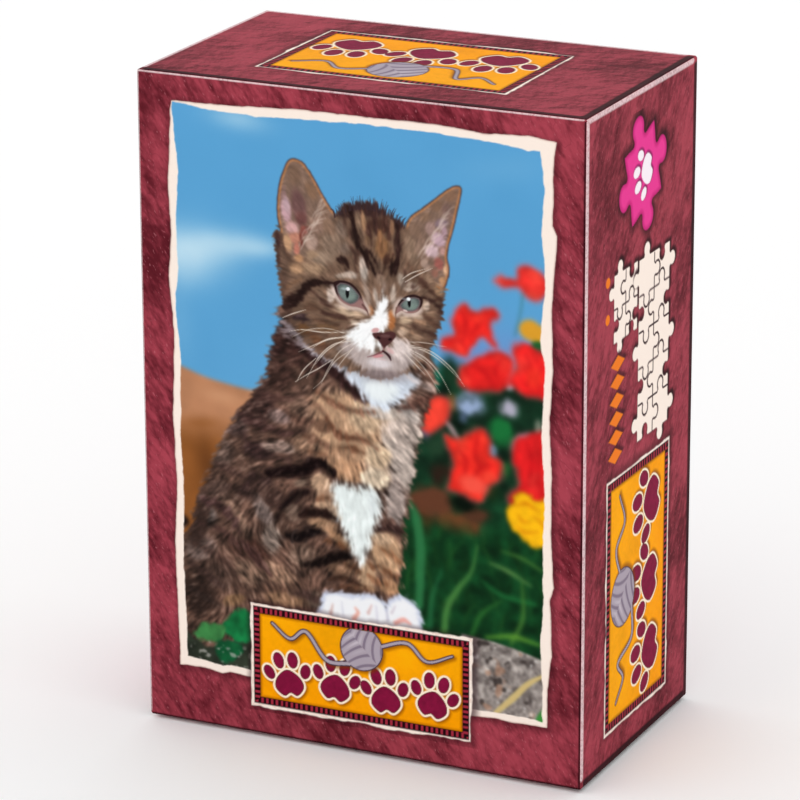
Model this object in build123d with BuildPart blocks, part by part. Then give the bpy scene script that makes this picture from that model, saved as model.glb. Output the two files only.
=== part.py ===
from build123d import *

import os
from math import cos, radians, sin, sqrt

# A two-piece box with a lift-off lid, holding a sealed bag of 54 jigsaw pieces. Millimetres, +Z up.
# The box stands on one short end, with its picture panel facing -Y, and the lid comes off towards -Y.
# The origin is the middle of the end that it stands on.

# The closed box
box_width = 67.0
box_depth = 39.0
box_height = 95.0
board = 1.2  # greyboard
paper = 0.2  # printed wrap and its glue
turn_in = 12.0  # how far the wrap is folded in over a rim
edge_radius = 0.7  # outside edges of a wrap
fit_gap = 0.4  # between the lid and the tray, all round

# The jigsaw, as it lies when it is put together
puzzle_width = 115.0
puzzle_height = 160.0
columns = 6
rows = 9
piece_thickness = 1.6
crossing_shift = 0.6  # how far the cut lines' crossings stray from an even grid
tab_radius = 2.1  # round head of a tab
tab_centre = 2.1  # how far the head's centre stands out from the cut line
neck_radius = 0.8  # hollow curve on each side of a tab's neck
tab_shift = 1.0  # how far a tab strays from the middle of its side

# The bag, and the heap of pieces in it
film = 0.15
bag_gap = 0.4  # between the bag and the tray's walls
bag_corner = 8.0
bag_edge = 1.0
first_tilt = 0.3  # degrees, in the layer at the back of the bag
tilt_step = 0.35  # degrees more in each layer after it
layer_gap = 0.04
piece_reach = 13.9  # radius of a circle that holds any piece
spin_step = 137.5  # degrees that each piece is turned on from the one before
shuffle = 23  # steps through the jigsaw from one piece in the heap to the next

middle = box_height / 2
front = -box_depth / 2
back = box_depth / 2
panel = paper + board
wall = panel + paper  # at a rim, where the wrap is folded in

lid_size = (box_width, box_height)
tray_size = (box_width - 2 * (wall + fit_gap), box_height - 2 * (wall + fit_gap))
tray_rim = front + panel + fit_gap

bag_size = (tray_size[0] - 2 * (wall + bag_gap), tray_size[1] - 2 * (wall + bag_gap))
bag_back = back - panel - bag_gap

piece_width = puzzle_width / columns
piece_height = puzzle_height / rows

os.makedirs("parts", exist_ok=True)


def rounded_block(size, panel_y, rim_y, inset):
    """A block from a panel to a rim, rounded at the panel's edges and along the walls."""
    with BuildPart() as block:
        with Locations((0, (panel_y + rim_y) / 2, middle)):
            Box(size[0] - 2 * inset, abs(rim_y - panel_y) - 2 * inset, size[1] - 2 * inset)
        panel_face = block.faces().sort_by(Axis.Y)[0 if panel_y < rim_y else -1]
        fillet(panel_face.edges() + block.edges().filter_by(Axis.Y), edge_radius - inset)
    return block.part


def cut_room(size, panel_y, rim_y, inset, panel_inset):
    """Cut the space between a shell's walls, from the inside of its panel out past its rim."""
    outward = -1 if rim_y < panel_y else 1
    floor_y = panel_y + outward * panel_inset
    open_y = rim_y + outward
    with Locations((0, (floor_y + open_y) / 2, middle)):
        Box(size[0] - 2 * inset, abs(open_y - floor_y), size[1] - 2 * inset, mode=Mode.SUBTRACT)


# The lid opens at the back, and the tray inside it opens at the front
for name, size, panel_y, rim_y in (("lid", lid_size, front, back), ("base", tray_size, back, tray_rim)):
    outside = rounded_block(size, panel_y, rim_y, 0)
    core = rounded_block(size, panel_y, rim_y, paper)
    outward = -1 if rim_y < panel_y else 1

    # One scored blank, folded up into a panel and four walls
    with BuildPart() as greyboard:
        add(core)
        cut_room(size, panel_y, rim_y, panel, panel)
    greyboard.part.label = f"{name}_board"
    export_step(greyboard.part, f"parts/{name}_board.step")

    # Printed paper over the board, folded over its rim and down the inside of its walls
    with BuildPart() as wrap:
        add(outside)
        add(core, mode=Mode.SUBTRACT)
        with Locations((0, rim_y - outward * (paper + turn_in) / 2, middle)):
            Box(size[0] - 2 * panel, turn_in - paper, size[1] - 2 * panel)
        cut_room(size, panel_y, rim_y, wall, paper)
    wrap.part.label = f"{name}_wrap"
    export_step(wrap.part, f"parts/{name}_wrap.step")


# A layer of the heap is six pieces in two columns, or five. Places are across and up from its middle.
six = [(x, z) for x in (-14.6, 14.6) for z in (-28.8, 0.0, 28.8)]
five = [(-2.0, 29.2), (-15.0, 4.7), (15.0, 5.1), (-14.8, -23.9), (14.6, -23.5)]
five_turned = [(-x, -z) for x, z in five]
layers = [six, five, five_turned] * 3 + [six]


def heap():
    """Every piece's column, row and plane, layer by layer from the back, and where the heap ends."""
    places = []
    layer_back = bag_back - film
    for level, cells in enumerate(layers):
        tilt = first_tilt + tilt_step * level
        half = piece_thickness / 2 + piece_reach * sin(radians(tilt)) + layer_gap / 2
        for x, z in cells:
            number = len(places)
            lean = radians(spin_step * number)
            flip = 180 if number % 3 == 1 else 0
            turn = Rotation(flip + tilt * cos(lean), tilt * sin(lean), spin_step * number)
            flat = Plane((x, layer_back - half, middle + z), x_dir=(1, 0, 0), z_dir=(0, -1, 0))
            row, column = divmod(number * shuffle % (columns * rows), columns)
            places.append((column, row, Plane(flat.location * turn)))
        layer_back -= 2 * half
    return places, layer_back


def pillow(front_y, inset):
    """The bag's outside, or its inside when it is taken in by the film's thickness."""
    with BuildPart() as shape:
        with Locations((0, (bag_back + front_y) / 2, middle)):
            Box(bag_size[0] - 2 * inset, bag_back - front_y - 2 * inset, bag_size[1] - 2 * inset)
        fillet(shape.edges().filter_by(Axis.Y), bag_corner - inset)
        faces = shape.faces().sort_by(Axis.Y)
        fillet(faces[0].edges() + faces[-1].edges(), bag_edge - inset)
    return shape.part


pieces, heap_front = heap()
bag_front = heap_front - film
bag_outside = pillow(bag_front, 0)
bag_inside = pillow(bag_front, film)

with BuildPart() as piece_bag:
    add(bag_outside)
    add(bag_inside, mode=Mode.SUBTRACT)
piece_bag.part.label = "piece_bag"
export_step(piece_bag.part, "parts/piece_bag.step")


def crossing(column, row):
    """Where two cut lines cross. The jigsaw's border is straight, and the other lines wander a little."""
    shift_x = crossing_shift * sin(2.3 * column + 1.7 * row) if 0 < column < columns else 0
    shift_y = crossing_shift * cos(1.9 * column - 2.6 * row) if 0 < row < rows else 0
    return Vector(column * piece_width + shift_x, row * piece_height + shift_y)


def seam_across(column, row):
    """The cut below a piece, from left to right: its ends, its tab's side and how far the tab has strayed."""
    side = (-1) ** (column + row) if 0 < row < rows else 0
    return crossing(column, row), crossing(column + 1, row), side, tab_shift * sin(3.1 * column + 1.3 * row)


def seam_up(column, row):
    """The cut to the left of a piece, from bottom to top, in the same form."""
    side = -((-1) ** (column + row)) if 0 < column < columns else 0
    return crossing(column, row), crossing(column, row + 1), side, tab_shift * cos(2.7 * column + 1.1 * row)


def draw_seam(start, end, side, shift):
    """A cut from start to end, with its tab to the left (side 1) or right (-1), or with none (0)."""
    if side == 0:
        Line(start, end)
        return
    along = (end - start).normalized()
    out = along.rotate(Axis.Z, 90) * side
    foot = (start + end) * 0.5 + along * shift
    head = foot + out * tab_centre
    reach = tab_radius + neck_radius
    spread = sqrt(reach**2 - (tab_centre - neck_radius) ** 2)
    neck_a, neck_b = (foot + out * neck_radius + along * (hand * spread) for hand in (-1, 1))
    root_a, root_b = (neck - out * neck_radius for neck in (neck_a, neck_b))
    touch_a, touch_b = (neck + (head - neck) * (neck_radius / reach) for neck in (neck_a, neck_b))
    Line(start, root_a)
    RadiusArc(root_a, touch_a, neck_radius * side)
    ThreePointArc(touch_a, head + out * tab_radius, touch_b)
    RadiusArc(touch_b, root_b, neck_radius * side)
    Line(root_b, end)


# Each piece is cut along its own four seams, with its picture facing along its plane's z
for column, row, place in pieces:
    piece_middle = Vector((column + 0.5) * piece_width, (row + 0.5) * piece_height)
    seams = [
        seam_across(column, row),
        seam_across(column, row + 1),
        seam_up(column, row),
        seam_up(column + 1, row),
    ]
    with BuildPart() as piece:
        with BuildSketch(place):
            with BuildLine():
                for start, end, side, shift in seams:
                    draw_seam(start - piece_middle, end - piece_middle, side, shift)
            make_face()
        extrude(amount=piece_thickness / 2, both=True)
    piece_name = f"piece_r{rows - row}_c{column + 1}"
    piece.part.label = piece_name
    export_step(piece.part, f"parts/{piece_name}.step")

print(f"The bag's front is at y = {bag_front:.2f}, and the tray's rim is at y = {tray_rim:.2f}")
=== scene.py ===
from math import cos, pi, radians, sin

import bmesh
import bpy
import numpy as np
from mathutils import Matrix, Vector
from mathutils.geometry import delaunay_2d_cdt


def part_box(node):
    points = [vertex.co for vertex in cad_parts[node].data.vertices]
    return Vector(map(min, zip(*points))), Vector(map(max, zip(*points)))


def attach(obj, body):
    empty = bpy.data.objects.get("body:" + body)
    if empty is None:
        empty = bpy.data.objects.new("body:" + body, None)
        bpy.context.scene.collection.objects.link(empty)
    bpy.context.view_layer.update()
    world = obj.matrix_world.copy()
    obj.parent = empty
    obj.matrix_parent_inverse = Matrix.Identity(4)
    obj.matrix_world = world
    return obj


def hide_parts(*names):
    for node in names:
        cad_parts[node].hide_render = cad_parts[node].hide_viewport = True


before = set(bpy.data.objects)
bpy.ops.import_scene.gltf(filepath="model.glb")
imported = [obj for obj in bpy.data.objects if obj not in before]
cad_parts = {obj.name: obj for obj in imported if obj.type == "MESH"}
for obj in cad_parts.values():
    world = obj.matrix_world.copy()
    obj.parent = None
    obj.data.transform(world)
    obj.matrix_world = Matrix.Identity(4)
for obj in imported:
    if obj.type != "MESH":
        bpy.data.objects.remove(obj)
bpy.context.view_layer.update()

MM = 0.001

# The closed box, in millimetres, from the frame
lid_low, lid_high = (np.array(corner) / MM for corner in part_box("lid_wrap"))
tray_low, tray_high = (np.array(corner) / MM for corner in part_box("base_wrap"))
bag_low, bag_high = (np.array(corner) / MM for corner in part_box("piece_bag"))
WIDTH, DEPTH, HEIGHT = lid_high - lid_low
MIDDLE = HEIGHT / 2
PAPER = 0.2
EDGE = 0.4  # radius of a wrap's outside edges
WALL = 1.6  # at a rim, where the wrap is folded in
TURN_IN = 12.0


# ---- Meshes

def linear(colour):
    """Screen levels as light: the sRGB curve, a power of 2.4 above a short straight foot."""
    return np.where(colour <= 0.04045, colour / 12.92, ((colour + 0.055) / 1.055) ** 2.4)


def make_piece(name, points, faces, finishes, body, replaces=(), smooth=False,
               finish_of_face=None):
    """A mesh from points in millimetres and lists of their numbers, with its place in the frame, on its body,
    and hiding the parts that it replaces."""
    mesh = bpy.data.meshes.new(name)
    mesh.from_pydata(np.asarray(points) * MM, [], faces)
    for finish in finishes:
        mesh.materials.append(finish)
    mesh.polygons.foreach_set("use_smooth", np.full(len(mesh.polygons), smooth))
    if finish_of_face is not None:
        mesh.polygons.foreach_set("material_index", finish_of_face)
    mesh.update()
    piece = bpy.data.objects.new(name, mesh)
    bpy.context.scene.collection.objects.link(piece)
    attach(piece, body)
    if replaces:
        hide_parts(*replaces)
    return piece


def colour_points(piece, name, values):
    """Keep a colour and its cover for each of a piece's points, under a name that its finish reads."""
    attribute = piece.data.attributes.new(name, "FLOAT_COLOR", "POINT")
    attribute.data.foreach_set("color", np.ascontiguousarray(values, np.float32).ravel())


def grid_faces(rows, columns, start=0, around=False):
    """Four-sided faces between neighbouring points of a grid, joined up along each row if it goes around."""
    i, j = np.meshgrid(np.arange(columns if around else columns - 1), np.arange(rows - 1))
    k, right = i + j * columns, (i + 1) % columns + j * columns
    return (np.stack([k, right, right + columns, k + columns], -1).reshape(-1, 4) + start).tolist()


def apply_modifiers(piece):
    """Put what a piece's modifiers make into its mesh."""
    bpy.context.view_layer.update()
    evaluated = piece.evaluated_get(bpy.context.evaluated_depsgraph_get())
    finished = bpy.data.meshes.new_from_object(evaluated)
    piece.modifiers.clear()
    piece.data = finished


# ---- Finishes

class Term:
    """A socket of a finish's nodes. Arithmetic on it adds Math nodes."""

    def __init__(self, finish, socket):
        self.finish = finish
        self.socket = socket

    def math(self, operation, *others):
        return self.finish.add("ShaderNodeMath", {"operation": operation}, (self, *others))

    def __add__(self, other):
        return self.math("ADD", other)

    def __sub__(self, other):
        return self.math("SUBTRACT", other)

    def __rsub__(self, other):
        return self.finish.add("ShaderNodeMath", {"operation": "SUBTRACT"}, (other, self))

    def __mul__(self, other):
        return self.math("MULTIPLY", other)

    __radd__ = __add__
    __rmul__ = __mul__

    def between(self, low, high):
        """Smoothstep: 0 at low, 1 at high."""
        return self.finish.add("ShaderNodeMapRange", {"interpolation_type": "SMOOTHSTEP"}, (self, low, high))


class Finish:
    """A material made of nodes: one surface shader, with what varies over the surface worked out for it."""

    def __init__(self, name):
        self.material = bpy.data.materials.new(name)
        self.material.use_nodes = True
        self.tree = self.material.node_tree
        self.surface = self.tree.nodes["Principled BSDF"]
        place = self.add("ShaderNodeTexCoord", {}, (), "Object")
        self.place = self.vector("MULTIPLY", place, (1 / MM,) * 3)

    def add(self, kind, settings, inputs, output=0):
        """Any node: its settings first, then its sockets in order or by name, as values or links."""
        node = self.tree.nodes.new(kind)
        for setting, value in settings.items():
            setattr(node, setting, value)
        pairs = inputs.items() if isinstance(inputs, dict) else enumerate(inputs)
        for key, value in pairs:
            if isinstance(value, Term):
                self.tree.links.new(value.socket, node.inputs[key])
            else:
                node.inputs[key].default_value = value
        return Term(self, node.outputs[output])

    def vector(self, operation, *inputs):
        return self.add("ShaderNodeVectorMath", {"operation": operation}, inputs)

    def noise(self, size, detail=2.0, stretch=(1, 1, 1), roughness=0.5, place=None):
        """Noise from about 0.25 to 0.75, whose lumps are about size millimetres, drawn out along stretch."""
        scaled = self.vector("MULTIPLY", place or self.place, tuple(1 / (size * s) for s in stretch))
        inputs = {"Vector": scaled, "Scale": 1.0, "Detail": detail, "Roughness": roughness}
        return self.add("ShaderNodeTexNoise", {}, inputs, "Fac")

    def turned(self, angles):
        """The place on the piece in axes turned by angles in degrees, so that a pattern can run slantwise."""
        inputs = {"Vector": self.place, "Rotation": tuple(radians(angle) for angle in angles)}
        return self.add("ShaderNodeVectorRotate", {"rotation_type": "EULER_XYZ"}, inputs)

    def mix(self, amount, under, over):
        """under where amount is 0, over where it is 1."""
        under, over = ((*c, 1.0) if isinstance(c, tuple) and len(c) == 3 else c for c in (under, over))
        return self.add("ShaderNodeMix", {"data_type": "RGBA"}, {0: amount, 6: under, 7: over}, 2)

    def set(self, **values):
        """Set the surface shader's sockets, by their names in lower case with _ for a space."""
        for key, value in values.items():
            socket = self.surface.inputs[key.replace("_", " ").title().replace("Ior", "IOR")]
            if isinstance(value, Term):
                self.tree.links.new(value.socket, socket)
            elif isinstance(value, tuple) and len(value) == 3:
                socket.default_value = (*value, 1.0)
            else:
                socket.default_value = value
        return self

    def bump(self, height, strength, distance):
        """Raise the surface by a height in millimetres times distance."""
        inputs = {"Strength": strength, "Distance": distance * MM, "Height": height}
        self.set(normal=self.add("ShaderNodeBump", {}, inputs))
        return self


def screen(*levels):
    """A colour as it looks on a screen, in eight-bit levels, for a shader."""
    return tuple(float(v) for v in linear(np.array(levels) / 255.0))


def printed_paper(name, painted):
    """Burgundy leather printed on varnished paper: cloudy, creased and scratched, as if lit from the upper
    left, with a painted highlight along each panel's left and top edges and painted shade along its right
    and bottom edges, as of a bevel lit from the upper left. painted adds the artwork that a piece's points
    carry as 'ink'."""
    f = Finish(name)
    clouds = f.noise(15.0, 2.0)
    mottle = f.noise(4.0, 3.0, roughness=0.6)
    grain = f.noise(0.42, 3.0, roughness=0.7)

    def embossed(size, detail, stretch, angles, step, roughness=0.5):
        """How a crinkled skin shades: the same noise at two places a step apart, one less the other."""
        place = f.turned(angles)
        aside = f.vector("ADD", place, (step, -step, -step))
        here, there = (f.noise(size, detail, stretch, roughness, spot) for spot in (place, aside))
        return here - there

    folds = embossed(2.6, 2.0, (1, 1, 1.8), (20, 24, 0), 0.36, 0.45)
    creases = embossed(1.1, 2.0, (1, 1, 3.4), (24, 30, 0), 0.18)
    crinkle = (f.noise(3.0, 2.0, (1, 1, 2.2), place=f.turned((16, 26, 0))) - 0.5).math("ABSOLUTE")
    scratch = f.noise(0.24, 1.0, (1, 1, 16), place=f.turned((22, 26, 0)))
    tone = (clouds - 0.5) * 2.0 + (mottle - 0.5) * 0.5 + folds * 1.9 + creases * 1.6
    tone = tone + (grain - 0.5) * 0.15 + 0.5
    leather = f.mix(tone.between(-0.2, 1.1), screen(92, 26, 36), screen(168, 66, 80))
    leather = f.mix((1.0 - crinkle.between(0.0, 0.014)) * 0.22, leather, screen(72, 20, 28))
    leather = f.mix(scratch.between(0.64, 0.78) * 0.34, leather, screen(204, 118, 128))
    # Painted highlight (pale) and painted shade (dark) along the lid's panel edges, as of a bevel lit from
    # the upper left
    edge = f.add("ShaderNodeAttribute", {"attribute_name": "painted_edge_light"}, (), "Fac")
    leather = f.mix(edge.between(0.1, 0.9) * (grain.between(0.3, 0.6) * 0.4 + 0.45), leather,
                    screen(240, 214, 216))
    leather = f.mix((edge * -1.0).between(0.1, 0.9) * 0.9, leather, screen(34, 10, 16))
    if painted:
        ink = f.add("ShaderNodeAttribute", {"attribute_name": "ink"}, (), "Color")
        cover = f.add("ShaderNodeAttribute", {"attribute_name": "ink"}, (), "Alpha")
        leather = f.mix(cover, leather, ink)
    fibres = f.noise(0.35, 3.0)
    waves = f.noise(16.0, 1.0)
    f.set(base_color=leather, roughness=fibres * 0.10 + 0.45, specular_ior_level=0.02)
    f.bump(fibres * 0.015 + waves * 0.4, 0.3, 1.0)
    return f.material


# ---- Painting

# The picture, in millimetres across and up from the lid panel's lower left corner
PICTURE = (3.5, 3.5, 63.5, 92.625)
FINE = 0.125  # between the grid's points on the panel
COARSE = 0.16  # and on the walls
LATTICE = 512


def srgb(*levels):
    """Eight-bit screen levels as fractions."""
    return np.array(levels) / 255.0


def sampled(grid, j, i, j1, i1, s, t):
    """A grid's values between its points: s of the way from column i to i1, and t of the way from row j to
    j1."""
    low = grid[j, i] * (1 - s) + grid[j, i1] * s
    high = grid[j1, i] * (1 - s) + grid[j1, i1] * s
    return low * (1 - t) + high * t


def ramp(low, high, value):
    """Smoothstep: 0 at low, 1 at high, with level ends."""
    t = np.clip((value - low) / (high - low), 0.0, 1.0)
    return t * t * (3.0 - 2.0 * t)


def curve(points, closed=False, steps=8):
    """A Catmull-Rom curve through points: each span is the cubic whose end slopes are half its neighbours'
    chord."""
    p = np.array(points, float)
    if closed:
        p = np.vstack([p[-1], p, p[:2]])
    else:
        p = np.vstack([2 * p[0] - p[1], p, 2 * p[-1] - p[-2]])
    t = np.linspace(0.0, 1.0, steps, endpoint=False)[None, :, None]
    a, b, c, d = (p[i:len(p) - 3 + i, None, :] for i in range(4))
    spans = b + 0.5 * t * (c - a + t * (2 * a - 5 * b + 4 * c - d + t * (3 * (b - c) + d - a)))
    line = spans.reshape(-1, p.shape[1])
    return line if closed else np.vstack([line, p[-2]])


def depth_inside(x, z, line):
    """How far places lie inside a closed line, negative outside: the distance to its nearest edge, signed
    by how often a line to the right crosses it."""
    nearest = np.full(x.shape, 2500.0)
    inside = np.zeros(x.shape, bool)
    for (ax, az), (bx, bz) in zip(line, np.roll(line, -1, 0)):
        dx, dz = bx - ax, bz - az
        t = np.clip(((x - ax) * dx + (z - az) * dz) / (dx * dx + dz * dz + 1e-12), 0, 1)
        nearest = np.minimum(nearest, (x - ax - t * dx) ** 2 + (z - az - t * dz) ** 2)
        if az != bz:
            inside ^= ((az > z) != (bz > z)) & (x < ax + (z - az) * dx / dz)
    return np.where(inside, 1, -1) * np.sqrt(nearest)


class Canvas:
    """A grid of colours over a rectangle of the panel, painted from back to front."""

    def __init__(self, bounds, pitch):
        x0, z0, x1, z1 = bounds
        self.bounds = bounds
        self.pitch = pitch
        columns = int(round((x1 - x0) / pitch)) + 1
        rows = int(round((z1 - z0) / pitch)) + 1
        self.x, self.z = np.meshgrid(np.linspace(x0, x1, columns), np.linspace(z0, z1, rows))
        self.colour = np.zeros((rows, columns, 3))
        self.cover = np.zeros((rows, columns))

    def paint(self, colour, mask):
        """Lay a colour over the grid where the mask is 1. cover is how much of the bare paper it hides."""
        cover = mask + self.cover * (1 - mask)
        part = mask / np.maximum(cover, 1e-6)
        self.colour += (np.asarray(colour) - self.colour) * part[..., None]
        self.cover = cover

    def noise(self, size, seed=0, octaves=1):
        """Smooth noise from -1 to 1: random values on a lattice of the given size, joined by smoothsteps."""
        total = np.zeros(self.x.shape)
        for octave in range(octaves):
            u = self.x / size * 2 ** octave + 31.7 * octave
            v = self.z / size * 2 ** octave + 17.3 * octave
            lattice = np.random.default_rng(1000 * seed + octave).uniform(-1, 1, (LATTICE, LATTICE))
            i, j = np.floor(u).astype(int), np.floor(v).astype(int)
            s, t = ramp(0, 1, u - i), ramp(0, 1, v - j)
            i, j, i1, j1 = (k % LATTICE for k in (i, j, i + 1, j + 1))
            total += sampled(lattice, j, i, j1, i1, s, t) * 0.5 ** octave
        return total / (2 - 0.5 ** (octaves - 1))

    def window(self, points, reach):
        """The slices of the grid within reach of some points."""
        low, high = points.min(0) - reach, points.max(0) + reach
        x0, z0 = self.bounds[:2]
        i0, i1 = (int(np.clip((v - x0) / self.pitch, 0, self.x.shape[1])) for v in (low[0], high[0]))
        j0, j1 = (int(np.clip((v - z0) / self.pitch, 0, self.x.shape[0])) for v in (low[1], high[1]))
        return slice(j0, j1 + 1), slice(i0, i1 + 1)

    def depth(self, points, smooth=True, reach=4.0):
        """How far each place lies inside a closed outline, negative outside."""
        line = curve(points, closed=True) if smooth else np.array(points, float)
        where = self.window(line, reach)
        result = np.full(self.x.shape, -reach)
        result[where] = depth_inside(self.x[where], self.z[where], line)
        return result

    def stroke(self, points, wide, reach=2.5, steps=8):
        """How far each place lies inside a brush stroke: its half width there, less the distance to its
        line. wide holds the half widths at the start, middle and end."""
        line = curve(points, steps=steps)
        where = self.window(line, reach)
        x, z = self.x[where], self.z[where]
        along = np.linspace(0, 1, len(line))
        half = np.interp(along, np.linspace(0, 1, len(wide)), wide)
        best = np.full(x.shape, -reach)
        for k in range(len(line) - 1):
            (ax, az), (bx, bz) = line[k], line[k + 1]
            dx, dz = bx - ax, bz - az
            t = np.clip(((x - ax) * dx + (z - az) * dz) / (dx * dx + dz * dz + 1e-12), 0, 1)
            distance = np.hypot(x - ax - t * dx, z - az - t * dz)
            best = np.maximum(best, half[k] + (half[k + 1] - half[k]) * t - distance)
        result = np.full(self.x.shape, -reach)
        result[where] = best
        return result

    def blob(self, x, z, rx, rz, lean=0.0):
        """A soft round patch: 1 in its middle, falling to 0 at its edge as a bell."""
        c, s = np.cos(np.radians(lean)), np.sin(np.radians(lean))
        u, v = self.x - x, self.z - z
        return np.exp(-2.0 * (((u * c + v * s) / rx) ** 2 + ((v * c - u * s) / rz) ** 2))

    def soften(self, times):
        """Put what is painted a little out of focus: each time, every place is averaged with its
        neighbours."""
        for axis in (0, 1) * times:
            before, after = (np.roll(self.colour, step, axis) for step in (1, -1))
            self.colour = (before + 2 * self.colour + after) / 4

    def combed(self, angle, length, grain, seed):
        """Noise smeared along a field of directions, so that it reads as hair: each place averages the
        noise along the line through it, and the result is spread to a standard deviation of 1."""
        speckle = np.random.default_rng(seed).standard_normal(self.x.shape)
        for _ in range(grain):
            speckle = (np.roll(speckle, 1, 0) + speckle + np.roll(speckle, -1, 0)) / 3
            speckle = (np.roll(speckle, 1, 1) + speckle + np.roll(speckle, -1, 1)) / 3
        rows, columns = self.x.shape
        jj, ii = np.mgrid[0:rows, 0:columns].astype(float)
        total = speckle.copy()
        step = 0.9
        for way in (-1, 1):
            i, j = ii.copy(), jj.copy()
            for k in range(int(length / self.pitch / 2 / step)):
                ri = np.clip(np.rint(i), 0, columns - 1).astype(int)
                rj = np.clip(np.rint(j), 0, rows - 1).astype(int)
                a = angle[rj, ri]
                i = np.clip(i + way * step * np.cos(a), 0, columns - 1.001)
                j = np.clip(j + way * step * np.sin(a), 0, rows - 1.001)
                i0, j0 = i.astype(int), j.astype(int)
                total += sampled(speckle, j0, i0, j0 + 1, i0 + 1, i - i0, j - j0)
        return (total - total.mean()) / total.std()


def lay_of_fur(canvas, head):
    """The direction of the fur as an angle: on the body it is a mean of the directions listed, each weighted
    by the inverse cube of its distance, and on the head it runs out from the nose."""
    combings = [
        (20, 58, 175), (17, 50, 200), (13, 43, 215), (9, 36, 215), (7, 28, 205), (8, 20, 215),
        (22, 52, 205), (19, 44, 195), (15, 34, 225), (14, 26, 325), (18, 23, 300), (11, 30, 220),
        (25, 46, 230), (24, 40, 195), (21, 34, 235), (20, 29, 320), (24, 24, 295), (25, 32, 215),
        (28, 36, 265), (29, 30, 235), (30, 26, 225), (28, 54, 230), (31, 51, 285), (33, 46, 295),
        (30, 43, 270), (36, 42, 300), (37, 48, 300), (39, 52, 335), (42, 55, 330), (42, 50, 325),
        (41, 45, 322), (40, 40, 318), (39, 35, 315), (33, 36, 275), (36, 54, 270), (38, 30, 300),
        (37, 26, 280), (33, 30, 268), (31, 22, 180), (40, 22, 340), (26, 28, 240), (23, 27, 310),
    ]
    u, v = np.zeros(canvas.x.shape), np.zeros(canvas.x.shape)
    for x, z, degrees in combings:
        weight = ((canvas.x - x) ** 2 + (canvas.z - z) ** 2 + 1.0) ** -1.5
        u += weight * np.cos(np.radians(degrees))
        v += weight * np.sin(np.radians(degrees))
    length = np.hypot(u, v) + 1e-9
    face_x, face_z = canvas.x - 36.8, canvas.z - 64.0
    face_length = np.hypot(face_x, face_z) + 1e-9
    u = u / length * (1 - head) + face_x / face_length * head
    v = v / length * (1 - head) + face_z / face_length * head
    return np.arctan2(v, u) + 0.30 * canvas.noise(1.7, 7, 2)


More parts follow.
